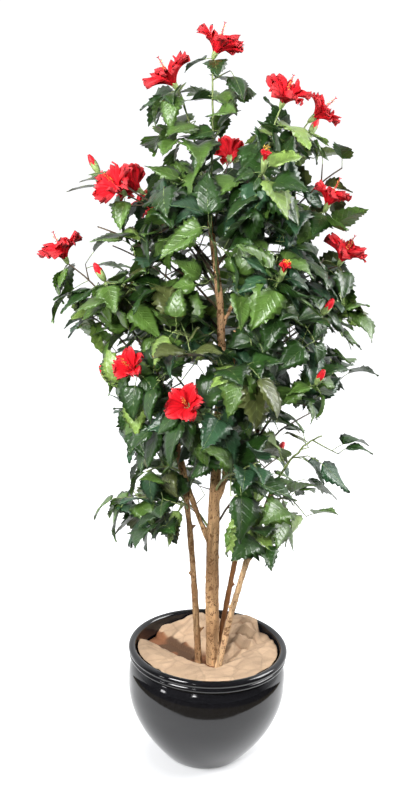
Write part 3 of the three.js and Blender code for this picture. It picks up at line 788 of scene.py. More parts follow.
def carve_bark(piece, names, rng):
    """Moves the corners out and in: furrows, cracks, swellings, and knots with a pit in the middle."""
    relief = sizes().bark_relief
    corners, normals = corners_of(piece), normals_of(piece)
    moved = np.array([
        sum(
            depth * relief * noise.noise(Vector((x * across, y * across, z * along)))
            for depth, across, along in BARK_WAVES
        )
        for x, y, z in corners
    ])
    for name in names:
        for place, size, height in knots(name, rng):
            near = np.exp(-(np.linalg.norm(corners - place, axis=1) / size) ** 2)
            moved += height * (near - 1.25 * near ** 5)
    top = POT_LOW.z + max(LIMBS[name][0][-1][2] for name in names)
    corners += normals * moved[:, None]
    corners[:, 2] = np.clip(corners[:, 2], PLUG_HIGH.z + BARK_OFF_PLUG, top)
    move_corners(piece, corners)


def stub(limb, height, azimuth, length):
    """A short cone that leans up and out of its limb."""
    centres, radii = LIMBS[limb]
    way = Vector(heading(azimuth, STUB_RISE))
    foot = Vector(on_axis(centres, height * MM))
    reach = length * MM + float(np.interp(height * MM, centres[:, 2], radii))
    bpy.ops.object.select_all(action="DESELECT")
    bpy.ops.mesh.primitive_cone_add(
        vertices=12, radius1=STUB_RADII[0], radius2=STUB_RADII[1], depth=reach,
        location=foot + way * reach / 2, rotation=way.to_track_quat("Z", "Y").to_euler(),
    )
    bpy.ops.object.transform_apply(location=True, rotation=True, scale=True)
    return bpy.context.object


def wood_piece(names, name, finish, slot, seed):
    """The limbs named and their stubs, fused where they meet and given their bark."""
    pieces = [drawn_limb(limb) for limb in names] + [stub(*row) for row in STUBS if row[0] in names]
    bpy.ops.object.select_all(action="DESELECT")
    for each in pieces:
        each.select_set(True)
    bpy.context.view_layer.objects.active = pieces[0]
    if len(pieces) > 1:
        bpy.ops.object.join()
    piece = pieces[0]
    apply_modifier(piece, "REMESH", mode="VOXEL", voxel_size=VOXEL)
    apply_modifier(piece, "SMOOTH", factor=0.5, iterations=4)
    carve_bark(piece, names, np.random.default_rng(seed))
    hand_over(piece, name, [finish], slot, *names)


# ---------------------------------------------------------------- shoots

def back_shoots():
    """The shoots at the back, tier by tier up the trunk."""
    low, high = BACK_HEIGHTS
    rows = []
    for i in range(BACK_COUNT):
        height = low + (high - low) * i / (BACK_COUNT - 1)
        reach = BACK_REACH * math.sqrt(1 - ((height - BACK_WIDEST) / BACK_HALF_HEIGHT) ** 2)
        azimuth = BACK_AZIMUTHS[i % len(BACK_AZIMUTHS)]
        lowest = BACK_LOWEST_FOOT + BACK_FOOT_STEP * i
        root = min(max(height - BACK_DROP * reach, lowest), BACK_HIGHEST_FOOT)
        flower = ("bud",) if i in BACK_BUDS else ()
        if i in BACK_BLOOMS:
            flower = ("bloom", azimuth, BACK_BLOOM_RISE, BACK_BLOOM_OPEN)
        rows.append((f"back_shoot_{i + 1}", "trunk", root, azimuth, reach, height, *flower))
    return rows


class Shoot:
    """A twig that leaves its limb upwards and arches out to its tip."""

    BEND_OUT, BEND_UP, BEND_LIFT = 0.42, 0.62, 0.022
    BUD_UPRIGHT = 1.2

    def __init__(
        self, name, limb, root_height, azimuth, reach, height, flower=None, face=0, rise=0, open=1.0
    ):
        self.name, self.flower, self.open = name, flower, open
        self.root = on_axis(LIMBS[limb][0], root_height * MM)
        self.tip = on_circle(azimuth, reach * MM, height * MM)
        self.bend = self.root + self.BEND_OUT * (self.tip - self.root)
        climb = max(self.BEND_UP * (self.tip[2] - self.root[2]), 0)
        self.bend[2] = self.root[2] + climb + self.BEND_LIFT
        upright = unit(self.along(1) + self.BUD_UPRIGHT * UP)
        self.facing = heading(face, rise) if flower == "bloom" else upright
        low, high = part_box(name)
        self.low, self.high = np.array(low), np.array(high)

    def at(self, share):
        return (1 - share) ** 2 * self.root + 2 * share * (1 - share) * self.bend + share ** 2 * self.tip

    def along(self, share):
        return unit(2 * (1 - share) * (self.bend - self.root) + 2 * share * (self.tip - self.bend))

    def holds(self, points, margin=0.0):
        """Whether the points lie in the box of the shoot's solid, or within the margin of it."""
        return (points >= self.low - margin).all() and (points <= self.high + margin).all()


SHOOTS = [Shoot(*row) for row in (*FRONT_SHOOTS, *back_shoots())]
LIMB_CLEARANCE = 0.004
REACH_MARGIN = 0.030
LOWEST_LEAF = 0.515
# The room between the middles of two leaves, at two heights, and how much more there is at the back.
CROWDED, SPARSE, BACK_ROOM, BACK_STARTS = (1.15, 0.031), (0.72, 0.039), 1.3, 0.08
# The space in front of a bloom that leaves keep out of: where it starts and ends, and its radius.
BLOOM_AHEAD, BLOOM_ROOM = (0.004, 0.12), 0.052
# The radius that stays in view round a flower, its middle ahead of the tip, and the share of the radius
# that its own leaves keep out of.
FLOWER_WIDTH = {"bloom": 0.040, "closed": 0.022, "bud": 0.014}
FLOWER_MIDDLE, OWN_ROOM = 0.028, 0.6
# What lies in front of this place hides the trunk.
BEFORE_TRUNK = 0.01


def clear_of_limbs(points):
    for centres, radii in LIMBS.values():
        inside = (points[:, 2] > centres[0][2]) & (points[:, 2] < centres[-1][2])
        aside = [points[:, k] - np.interp(points[:, 2], centres[:, 2], centres[:, k]) for k in (0, 1)]
        room = np.interp(points[:, 2], centres[:, 2], radii) + LIMB_CLEARANCE
        if (inside & (np.hypot(*aside) < room)).any():
            return False
    return True


def clear_of_blooms(points):
    """Whether the points stay out of the blooms and of the space straight in front of them."""
    for shoot in SHOOTS:
        if shoot.flower != "bloom":
            continue
        offset = points - shoot.tip
        ahead = offset @ shoot.facing
        aside = np.linalg.norm(offset - np.outer(ahead, shoot.facing), axis=1)
        if ((ahead > BLOOM_AHEAD[0]) & (ahead < BLOOM_AHEAD[1]) & (aside < BLOOM_ROOM)).any():
            return False
    return True


def seen(points):
    """Where the eye sees the points in the plane of the trunk, as x and height."""
    way = points - EYE
    share = -EYE[1] / way[:, 1]
    return EYE[[0, 2]] + way[:, [0, 2]] * share[:, None]


def keeps_views(points, own):
    """Whether the points leave the openings open and the flowers behind them in view."""
    spots = seen(points)
    strokes = OPENINGS
    if points[:, 1].min() < BEFORE_TRUNK:
        strokes = (*OPENINGS, VIEW_OF_TRUNK)
    for x0, z0, x1, z1, half in strokes:
        start, along = CM * np.array((x0, z0)), CM * np.array((x1 - x0, z1 - z0))
        share = np.clip((spots - start) @ along / max(along @ along, 1e-9), 0, 1)
        if (np.linalg.norm(spots - start - share[:, None] * along, axis=1) < half * CM).any():
            return False
    for shoot in SHOOTS[: len(FRONT_SHOOTS)]:
        if shoot.flower and points[:, 1].min() < shoot.tip[1]:
            middle = seen((shoot.tip + FLOWER_MIDDLE * shoot.facing)[None])
            room = FLOWER_WIDTH[shoot.flower] * (OWN_ROOM if shoot is own else 1)
            if (np.linalg.norm(spots - middle, axis=1) < room).any():
                return False
    return True


class Leaf:
    """A leaf's blade and the stalk that carries it."""

    # Ranges that a leaf draws from: the length of its stalk as a share of the usual one, how far its blade
    # curls down in radians, how steeply its halves are folded up, and how high its edge waves.
    STALKS, DROOPS, FOLDS, WAVES = (0.6, 1.4), (0.2, 1.15), (-0.12, 0.42), (0.01, 0.055)

    def __init__(self, node, direction, size, sag, roll, rng):
        stalk = sizes().petiole * size * rng.uniform(*self.STALKS)
        self.node, self.out = node, direction
        self.foot = node + direction * stalk
        self.length, self.width = size * sizes().leaf_length, size * sizes().leaf_width
        self.axes = placing(direction - UP * sag, roll, outlook(node))
        self.droop = rng.uniform(*self.DROOPS)
        self.fold = rng.uniform(*self.FOLDS)
        self.wave = rng.uniform(*self.WAVES)
        self.lobed = rng.random() < SHARE_LOBED
        self.phase = rng.uniform(*ANY_TURN)
        self.own = rng.random()

    def place(self, along, across, over):
        """Points on the blade, by shares of its length and by distances from its midrib."""
        angle = self.droop * along
        forward = self.length * np.sin(angle) / self.droop + over * np.sin(angle)
        height = -self.length * (1 - np.cos(angle)) / self.droop + over * np.cos(angle)
        return self.foot + np.column_stack((forward, across, height)) @ self.axes

    def outline(self):
        """Points all over the blade, the last in its middle."""
        along = np.array((0.05, 0.22, 0.22, 0.22, 0.5, 0.5, 0.75, 0.75, 0.75, 1.0, 0.5))
        across = self.width * np.array((0, -0.46, 0, 0.46, -0.44, 0.44, -0.25, 0, 0.25, 0, 0))
        return self.place(along, across, np.zeros(11))


def half_width(along):
    """Half the width of an ovate blade with a drawn-out tip, as a share of its full width."""
    return 1.281 * np.power(along, 0.40) * np.power(1 - along, 1.35)


def leaf_faces():
    """A leaf's faces and their materials. Its corners are midrib, then middles, edges and teeth of the
    left and of the right side, then the underside's midrib."""
    inner = CELLS - 1
    middle = lambda side, i: CELLS + 1 + side * (2 * inner + CELLS) + i - 1
    edge = lambda side, i: middle(side, i) + inner
    tooth = lambda side, i: middle(side, 1) + 2 * inner + i
    under = lambda i: CELLS + 1 + 2 * (2 * inner + CELLS) + i - 1
    faces, slots = [], []
    for side in (0, 1):
        for i in range(CELLS):
            # The blade narrows to one corner at its foot and one at its tip.
            near = [middle(side, i), edge(side, i), under(i)] if i > 0 else []
            far = [middle(side, i + 1), edge(side, i + 1), under(i + 1)] if i < CELLS - 1 else []
            rim = far[1:2] + [tooth(side, i)] + near[1:2]
            top_inner = [i, i + 1] + far[:1] + near[:1]
            top_outer = (near[:1] or [i]) + (far[:1] or [i + 1]) + rim
            below = (near[2:] or [i]) + (far[2:] or [i + 1]) + rim
            for face, slot in ((top_inner, 0), (top_outer, 0), (below[::-1], 1)):
                faces.append(face if side == 0 else face[::-1])
                slots.append(slot)
    return [tuple(face) for face in faces], slots


LEAF_FACES, LEAF_SLOTS = leaf_faces()
TEETH = STATIONS[:-1] + TOOTH_FORWARD * np.diff(STATIONS)


def leaf_corners(leaf):
    """Corners of a leaf, in the order that its faces take them, and their places on the blade."""
    inner = STATIONS[1:-1]
    half = leaf.width * half_width(inner) * EDGE_SHARE
    tooth = TOOTH_LENGTH * leaf.length * TOOTH_SIZES
    if leaf.lobed:
        tooth = tooth + leaf.length * LOBES
    rim = leaf.width * half_width(TEETH) + tooth
    ripple = lambda along, turn: leaf.length * leaf.wave * np.sin(9 * along + leaf.phase + turn)
    blocks = [(STATIONS, 0 * STATIONS, 0 * STATIONS)]
    for side in (1, -1):
        rise = leaf.fold * half
        middles = (inner, MIDDLE_SHARE * side * half, MIDDLE_SHARE * rise + 0.1 * half)
        edges = (inner + 0.01, side * half, rise + ripple(inner, side))
        teeth = (TEETH, side * rim, leaf.fold * rim + ripple(TEETH, side) - 0.15 * tooth)
        blocks += [middles, edges, teeth]
    blocks.append((inner, 0 * inner, 0 * inner - sizes().leaf_thick))
    along, across, over = (np.concatenate(parts) for parts in zip(*blocks))
    aside = np.abs(across) / leaf.length
    places = np.column_stack((along, aside, np.full_like(along, leaf.own)))
    return leaf.place(along, across, over), places


class Growth:
    """All twigs and leaves of the crown, grown shoot by shoot."""

    # Ranges that are drawn from: a leaf's size as a share of the usual one and how far it sags and rolls,
    # then a side twig's length as a share of the usual one, how far it curls down, and how far the leaf at
    # its tip is turned.
    LEAF_SIZES, SAGS, ROLLS = (0.7, 1.18), (-0.15, 0.5), (-0.5, 0.5)
    SIDE_LENGTHS, CURLS, TIP_TURNS = (0.8, 1.15), (-0.1, 0.16), (-0.6, 0.6)
    # Sizes of leaves: at a flower, at the tip of a side twig and at its nodes.
    WHORL_SIZE, TIP_SIZE, SIDE_SIZES = 0.75, 0.95, (0.9, 0.85)

    def __init__(self):
        self.twigs = {"green": Joined(), "brown": Joined()}
        self.masses = {"green": [], "brown": []}
        self.leaves = {tint: [] for tint in TINTS}
        self.centres = np.empty((0, 3))

    def fits(self, shoot, leaf):
        """Whether a leaf stays near its shoot's solid, off the wood and apart from the other leaves, and
        covers nothing that has to show."""
        points = leaf.outline()
        if not shoot.holds(points, REACH_MARGIN) or points[:, 2].min() < LOWEST_LEAF:
            return False
        if not clear_of_limbs(points) or not clear_of_blooms(points) or not keeps_views(points, shoot):
            return False
        apart = np.linalg.norm(self.centres - points[-1], axis=1)
        room = np.interp(points[-1][2], *zip(SPARSE, CROWDED))
        if shoot.tip[1] > BACK_STARTS:
            room *= BACK_ROOM
        return not (apart < room).any()

    def add_leaf(self, shoot, node, along, turn, share, tint, rng, spread=LEAF_SPREAD):
        """Turns a leaf round its twig until it has room. Returns whether it found any."""
        size = share * rng.uniform(*self.LEAF_SIZES)
        sag, roll = rng.uniform(*self.SAGS), rng.uniform(*self.ROLLS)
        for aside in ASIDE:
            leaf = Leaf(node, leaving(along, turn + aside, spread, 0.05), size, sag, roll, rng)
            if self.fits(shoot, leaf):
                self.leaves[tint].append(leaf)
                self.centres = np.vstack((self.centres, leaf.outline()[-1]))
                return True
        return False

    def grow(self, shoot, index, rng):
        """A shoot's own twig, the leaves at its tip, and its nodes with their leaves and side twigs."""
        inner = np.hypot(*shoot.tip[:2]) < GREEN_REACH or shoot.tip[1] < GREEN_FRONT
        bark = "green" if inner else "brown"
        self.masses[bark].append(shoot.name)
        shares = np.linspace(0, 1, LEADER_POINTS)
        wander = rng.normal(0, WANDER, (LEADER_POINTS, 3)) * np.sin(math.pi * shares)[:, None]
        path = np.array([shoot.at(share) for share in shares]) + wander
        self.twigs[bark].tube(path, np.linspace(*LEADER_RADII, LEADER_POINTS), 6)
        tints = self.spray_tints(shoot, rng)
        along = shoot.along(1)
        if shoot.flower:
            for k in range(WHORL):
                turn = index + k * 2 * math.pi / WHORL
                self.add_leaf(shoot, shoot.tip, along, turn, self.WHORL_SIZE, tints[1], rng, WHORL_SPREAD)
        else:
            self.add_leaf(shoot, shoot.tip, along, 0.0, 1.0, tints[0], rng)
        for i, share in enumerate(LEADER_NODES):
            node, along = shoot.at(share), shoot.along(share)
            turn = (i + index) * GOLDEN_ANGLE
            if i < SIDES:
                self.grow_side(shoot, node, along, turn, i, bark, tints[i], rng)
            self.add_leaf(shoot, node, along, turn + OPPOSITE, 1.0, tints[i], rng)
            self.add_leaf(shoot, node, along, turn - OPPOSITE, 1.0, tints[i], rng)

    def grow_side(self, shoot, node, along, turn, i, bark, tint, rng):
        """A side twig, as far out as the last of its leaves."""
        reach = sizes().side_twig * (1 - 0.08 * i) * rng.uniform(*self.SIDE_LENGTHS)
        direction = leaving(along, turn, SPREAD, 0.04)
        curl = rng.uniform(*self.CURLS)
        at = lambda share: node + direction * share * reach - UP * curl * reach * share ** 2
        tip = at(1)
        if not clear_of_limbs(np.array([at(0.35), at(0.7), tip])) or not shoot.holds(tip):
            return
        held = 0.0
        around = rng.uniform(*self.TIP_TURNS)
        if self.add_leaf(shoot, tip, direction, around, self.TIP_SIZE, tint, rng):
            held = 1.0
        for k, share in enumerate(SIDE_NODES):
            for aside, size in zip((0, OPPOSITE), self.SIDE_SIZES):
                around = turn + k * GOLDEN_ANGLE + aside
                if self.add_leaf(shoot, at(share), direction, around, size, tint, rng):
                    held = max(held, share)
        if held:
            path = [at(share) for share in np.linspace(0, held, SIDE_POINTS)]
            self.twigs[bark].tube(path, np.linspace(*SIDE_RADII, SIDE_POINTS), 4)

    def spray_tints(self, shoot, rng):
        """A tint for each node of a shoot: fresher far out, and deeper inside."""
        outer = np.hypot(*shoot.tip[:2]) / 0.35
        fresh = 0.07 + 0.10 * outer
        weights = np.array((0.42 - 0.1 * outer, 0.27, fresh, 0.18, 0.06))
        return rng.choice(TINTS, len(LEADER_NODES), p=weights / weights.sum())


def seeded(step, index):
    """Random numbers that a shoot has to itself."""
    return np.random.default_rng(sizes().seed + step * (index + 1))


def grown():
    growth = Growth()
    for index, shoot in enumerate(SHOOTS):
        growth.grow(shoot, index, seeded(LEAF_SEEDS, index))
    return growth


# ---------------------------------------------------------------- blooms and buds

PETALS = 5
PETAL_ALONG = np.linspace(0, 1, 12)
PETAL_ACROSS = np.linspace(-1, 1, 21)
# Where a petal is widest, and how far it runs on from there, as shares of its length.
PETAL_WIDEST, PETAL_REST = 0.72, 0.28
# Waves across a petal: their depth as a share of its reach, how late along it they rise, and how close
# together they are. Ruffles go forward and back, and notches in and out along the rim.
RUFFLES = ((0.12, 2, 7.2), (0.10, 3, 16))
NOTCHES = (0.065, 6, 17)
# Closed bodies: each row is a place along the body, a radius, and how far points stand forward of the
# hollows between them, in metres. In the rows of a bud and its calyx, all but the radii are shares of the
# bud's length.
CALYX = (
    (-0.002, 0.0022, 0),
    (0.003, 0.0052, 0),
    (0.010, 0.0066, 0),
    (0.015, 0.0074, 0.007),
    (0.012, 0.004, 0),
)
BUD = ((0.25, 0.0058), (0.45, 0.0078), (0.62, 0.0080), (0.78, 0.0070), (0.9, 0.0050), (1.0, 0.0022))
BUD_POINTS, BUD_TWIST = 0.003, 0.22
BUD_CALYX = ((0, 0.0020, 0), (0.1, 0.0056, 0), (0.3, 0.0080, 0), (0.46, 0.0090, 0.24), (0.42, 0.0060, 0))
# A bloom that is still wrapped: how wide it is open, its length as a share of an open bloom's, how far it
# stands out of its twig, and how much longer its calyx is.
WRAPPED_OPEN, WRAPPED_LENGTH, WRAPPED_LIFT, WRAPPED_CALYX = 0.24, 0.78, 0.012, 1.9


def bezier(points, share):
    p, q, r, s = points
    rest = 1 - share
    return rest ** 3 * p + 3 * rest ** 2 * share * q + 3 * rest * share ** 2 * r + share ** 3 * s


def waved(along, across, wide, wave, rng):
    """How far one kind of wave moves each corner of a petal."""
    depth, late, close = wave
    return depth * wide * along ** late * np.sin(close * across + rng.uniform(*ANY_TURN))


def petal(angle, open, rng):
    """Corners of a petal along +X, its faces, and each corner's place along it and across it."""
    deep, wide = sizes().bloom_length, sizes().bloom_radius * open
    along, across = np.meshgrid(PETAL_ALONG, PETAL_ACROSS, indexing="ij")
    scale = rng.uniform(0.9, 1.06)
    forward = bezier((0.06 * deep, 0.52 * deep, 0.9 * deep, rng.uniform(0.84, 1.0) * deep), along)
    reach = scale * bezier((0.05 * wide, 0.12 * wide, 0.5 * wide, 0.98 * wide), along)
    half = 0.1 * wide + 0.50 * wide * np.clip(along / PETAL_WIDEST, 0, 1) ** 1.3
    half *= np.sqrt(np.clip(1 - 0.8 * (np.clip(along - PETAL_WIDEST, 0, 1) / PETAL_REST) ** 2, 0.1, 1))
    sweep = np.minimum(half / reach, 0.86) * across
    ruffle = sum(waved(along, across, wide, wave, rng) for wave in RUFFLES)
    forward = forward + ruffle - 0.13 * wide * across * along
    notch = waved(along, across, wide, NOTCHES, rng)
    reach = reach * (1 + 0.10 * across) + notch - 0.07 * wide * across ** 2 * along ** 4
    turn = angle + sweep
    parts = forward, reach * np.cos(turn), reach * np.sin(turn)
    corners = np.column_stack([part.ravel() for part in parts])
    columns = len(PETAL_ACROSS)
    starts = [row * columns + i for row in range(len(PETAL_ALONG) - 1) for i in range(columns - 1)]
    faces = [(a, a + 1, a + columns + 1, a + columns) for a in starts]
    places = np.column_stack((along.ravel(), across.ravel(), np.full(along.size, rng.random())))
    return corners, faces, places


def star(profile, twist=0.0):
    """Corners and faces of a closed body about +X, with a point for each petal. Each row of the profile
    gives a place along it, a radius and how far its points stand forward of the hollows between them."""
    count = 2 * PETALS
    rings = []
    for i, (forward, radius, stand) in enumerate(profile):
        angles = np.arange(count) * 2 * math.pi / count + i * twist
        lift = np.where(np.arange(count) % 2 == 0, stand, 0.0)
        rings.append(np.column_stack((forward + lift, radius * np.cos(angles), radius * np.sin(angles))))
    ends = np.array(((profile[0][0], 0, 0), (profile[-1][0], 0, 0)))
    corners = np.concatenate(rings + [ends])
    last = count * len(profile)
    faces = []
    for i in range(count):
        following = (i + 1) % count
        faces += [(row + i, row + following, row + count + following, row + count + i)
                  for row in range(0, last - count, count)]
        faces.append((i, last, following))
        faces.append((last - count + i, last - count + following, last + 1))
    return corners, faces


class Flowers:
    """Petals, pistils, anthers and calyxes, each kind apart."""

    # Of a pistil: its points and radii, the share of it that bears anthers, and how many of them.
    COLUMN_POINTS, COLUMN_RADII = 9, (0.0016, 0.0010)
    ANTHER_SPAN, ANTHERS, ANTHER_SIZE = (0.56, 0.93), 26, 0.0011
    WRAPPED_ANTHERS, WRAPPED_ANTHER_SIZE = 16, 0.0016
    STIGMA = 0.003

    def __init__(self):
        self.petals, self.pistils, self.anthers, self.calyxes, self.buds = (Joined() for _ in range(5))

    def bloom(self, place, facing, open, rng):
        axes = placing(facing, rng.uniform(*ANY_TURN))
        for k in range(PETALS):
            angle = 2 * math.pi * k / PETALS + rng.uniform(-0.06, 0.06)
            corners, faces, places = petal(angle, open, rng)
            self.petals.add(place + corners @ axes, faces, values=places)
        self.pistil(place, axes, rng)
        self.calyx(place, axes, 1.0)

    def calyx(self, place, axes, stretch):
        """The green cup of a bloom, with five teeth round its mouth."""
        corners, faces = star([(stretch * forward, radius, stand) for forward, radius, stand in CALYX])
        self.calyxes.add(place + corners @ axes, faces)

    def pistil(self, place, axes, rng):
        """A bowed column with anthers on stalks all round its outer half, and stigmas at its tip."""
        reach = sizes().pistil
        shares = np.linspace(0.12, 1, self.COLUMN_POINTS)
        bow = rng.uniform(0.02, 0.09) * reach
        path = np.column_stack((shares * reach, 0 * shares, bow * shares ** 2))
        self.pistils.tube(place + path @ axes, np.linspace(*self.COLUMN_RADII, self.COLUMN_POINTS), 6)
        for share in np.linspace(*self.ANTHER_SPAN, self.ANTHERS):
            root = np.array((share * reach, 0, bow * share ** 2))
            out = round_x(rng.uniform(0, 360), 1)
            tip = root + out * rng.uniform(0.0026, 0.0042) + np.array((0.001, 0, 0))
            self.anthers.add(place + (tip + OCTAHEDRON * self.ANTHER_SIZE) @ axes, OCTAHEDRON_FACES)
            self.pistils.tube(place + np.array((root, tip)) @ axes, (0.0003, 0.0002), 3)
        for k in range(PETALS):
            out = round_x(360 / PETALS * k, 1)
            root = np.array((reach, 0, bow))
            tip = root + out * self.STIGMA + np.array((self.STIGMA, 0, 0))
            self.pistils.tube(place + np.array((root, tip)) @ axes, (0.0004, 0.0008), 4)

    def closed(self, place, direction, rng):
        """A bloom that is still wrapped: upright petals in a long calyx, with the anthers already out."""
        axes = placing(direction, rng.uniform(*ANY_TURN))
        foot = place + WRAPPED_LIFT * direction
        for k in range(PETALS):
            corners, faces, places = petal(2 * math.pi * k / PETALS, WRAPPED_OPEN, rng)
            self.petals.add(foot + corners * (WRAPPED_LENGTH, 1, 1) @ axes, faces, values=places)
        self.calyx(place, axes, WRAPPED_CALYX)
        for _ in range(self.WRAPPED_ANTHERS):
            spot = round_x(rng.uniform(0, 360), rng.uniform(0.001, 0.008))
            spot[0] = sizes().bloom_length * rng.uniform(0.78, 0.98)
            anther = spot + OCTAHEDRON * self.WRAPPED_ANTHER_SIZE
            self.anthers.add(foot + anther @ axes, OCTAHEDRON_FACES)

    def bud(self, place, direction, rng):
        axes = placing(direction, rng.uniform(*ANY_TURN))
        reach = sizes().bud
        corners, faces = star([(reach * share, radius, BUD_POINTS) for share, radius in BUD], BUD_TWIST)
        self.buds.add(place + corners @ axes, faces)
        corners, faces = star([(reach * share, radius, reach * stand) for share, radius, stand in BUD_CALYX])
        self.calyxes.add(place + corners @ axes, faces)


OCTAHEDRON = np.array(((1, 0, 0), (-1, 0, 0), (0, 1, 0), (0, -1, 0), (0, 0, 1), (0, 0, -1)), float)
OCTAHEDRON_FACES = [(0, 2, 4), (2, 1, 4), (1, 3, 4), (3, 0, 4), (2, 0, 5), (1, 2, 5), (3, 1, 5), (0, 3, 5)]


# ---------------------------------------------------------------- pot and paper

POT_STEPS = 128
# Heights of the pot: where it is widest, where its neck ends, and its floor. The underside is hollow by
# the foot's height, but for a ring to stand on.
POT_BELLY = 0.66 * POT_HIGH.z
POT_NECK = 0.894 * POT_HIGH.z
POT_FLOOR, POT_FOOT = 0.014, 0.0016


def pot_radius(height):
    """The pot's outside: a quarter wave from foot to belly, and another from belly to neck."""
    pot = sizes()
    if height < POT_BELLY:
        share = (height / POT_BELLY) ** 0.92
        return pot.pot_foot + (pot.pot_belly - pot.pot_foot) * math.sin(share * math.pi / 2)
    share = ((height - POT_BELLY) / (POT_NECK - POT_BELLY)) ** 2
    return pot.pot_neck + (pot.pot_belly - pot.pot_neck) * math.cos(share * math.pi / 2)


def arc(centre, radius, start, end, count):
    """Places along an arc, between two angles in degrees."""
    angles = [math.radians(angle) for angle in np.linspace(start, end, count)]
    return [(centre[0] + radius * math.cos(a), centre[1] + radius * math.sin(a)) for a in angles]


def pot_profile():
    """The pot's section from the middle of its underside round to the middle of its inner floor."""
    pot = sizes()
    ring = pot.pot_foot
    foot = [(0, POT_FOOT), (ring - 0.012, POT_FOOT), (ring - 0.010, 0), (ring - 0.0015, 0)]
    outside = [(pot_radius(height), height) for height in np.linspace(0.0015, POT_NECK, 34)]
    band = arc((0.957 * POT_RIM, POT_NECK + 0.0078), 0.0065, -74, 66, 8)
    bead = arc((POT_RIM - pot.pot_bead, POT_HIGH.z - pot.pot_bead), pot.pot_bead, -52, 200, 16)
    inside = [(pot_radius(height) - pot.pot_wall, height) for height in np.linspace(POT_NECK, POT_FLOOR, 20)]
    return [*foot, *outside, *band, *bead, *inside, (0, POT_FLOOR)]


def spun(profile, steps):
    """A solid of revolution: one corner drawn out along the profile, then spun about Z."""
    bpy.ops.object.select_all(action="DESELECT")
    bpy.ops.mesh.primitive_plane_add(size=0.01, location=(0, 0, 0))
    piece = bpy.context.object
    edit(piece)
    bpy.ops.mesh.merge(type="CENTER")
    bpy.ops.transform.translate(value=(profile[0][0], 0, profile[0][1]))
    for (near, low), (far, high) in zip(profile, profile[1:]):
        bpy.ops.mesh.extrude_vertices_move(TRANSFORM_OT_translate={"value": (far - near, 0, high - low)})
    bpy.ops.mesh.select_all(action="SELECT")
    bpy.ops.mesh.spin(steps=steps, angle=2 * math.pi, center=(0, 0, 0), axis=(0, 0, 1))
    leave_edit()
    close_and_turn_out(piece)
    return piece


# The reach over which a sharp fold of the paper rises.
CREASE = 0.0016


def hill(angle, centre, width):
    """A smooth rise round one azimuth, in radians."""
    aside = np.abs((angle - centre + math.pi) % (2 * math.pi) - math.pi)
    return np.exp(-(aside / width) ** 2)


def slope(value, start, span):
    """0 up to the start, 1 from a span beyond it, and even in between."""
    return np.clip((value - start) / span, 0, 1)


def cliff(value, full=1):
    """Full where the value is well below zero and 0 where it is well above, with a sharp fall between."""
    return full / (1 + np.exp(value / CREASE))


def creases(x, y, rng, count, size):
    """Straight folds in several directions, which leave flat facets between them."""
    height = np.zeros_like(x)
    for _ in range(count):
        way, phase = rng.uniform(0, math.pi), rng.uniform(0, 1)
        place = (x * math.cos(way) + y * math.sin(way)) / (size * rng.uniform(0.7, 1.6)) + phase
        height += (np.abs(place % 1 - 0.5) - 0.25) / count
    return 4 * height


# ---------------------------------------------------------------- operators

class HIBISCUS_OT_pot(bpy.types.Operator):
    """Spin the glazed pot, with its rolled rim and the band under it"""

    bl_idname = "hibiscus.pot"
    bl_label = "Glazed pot"

    def execute(self, context):
        piece = spun(pot_profile(), POT_STEPS)
        hand_over(piece, "glazed_pot", [glaze_finish()], "glazed_pot", "pot")
        return {"FINISHED"}


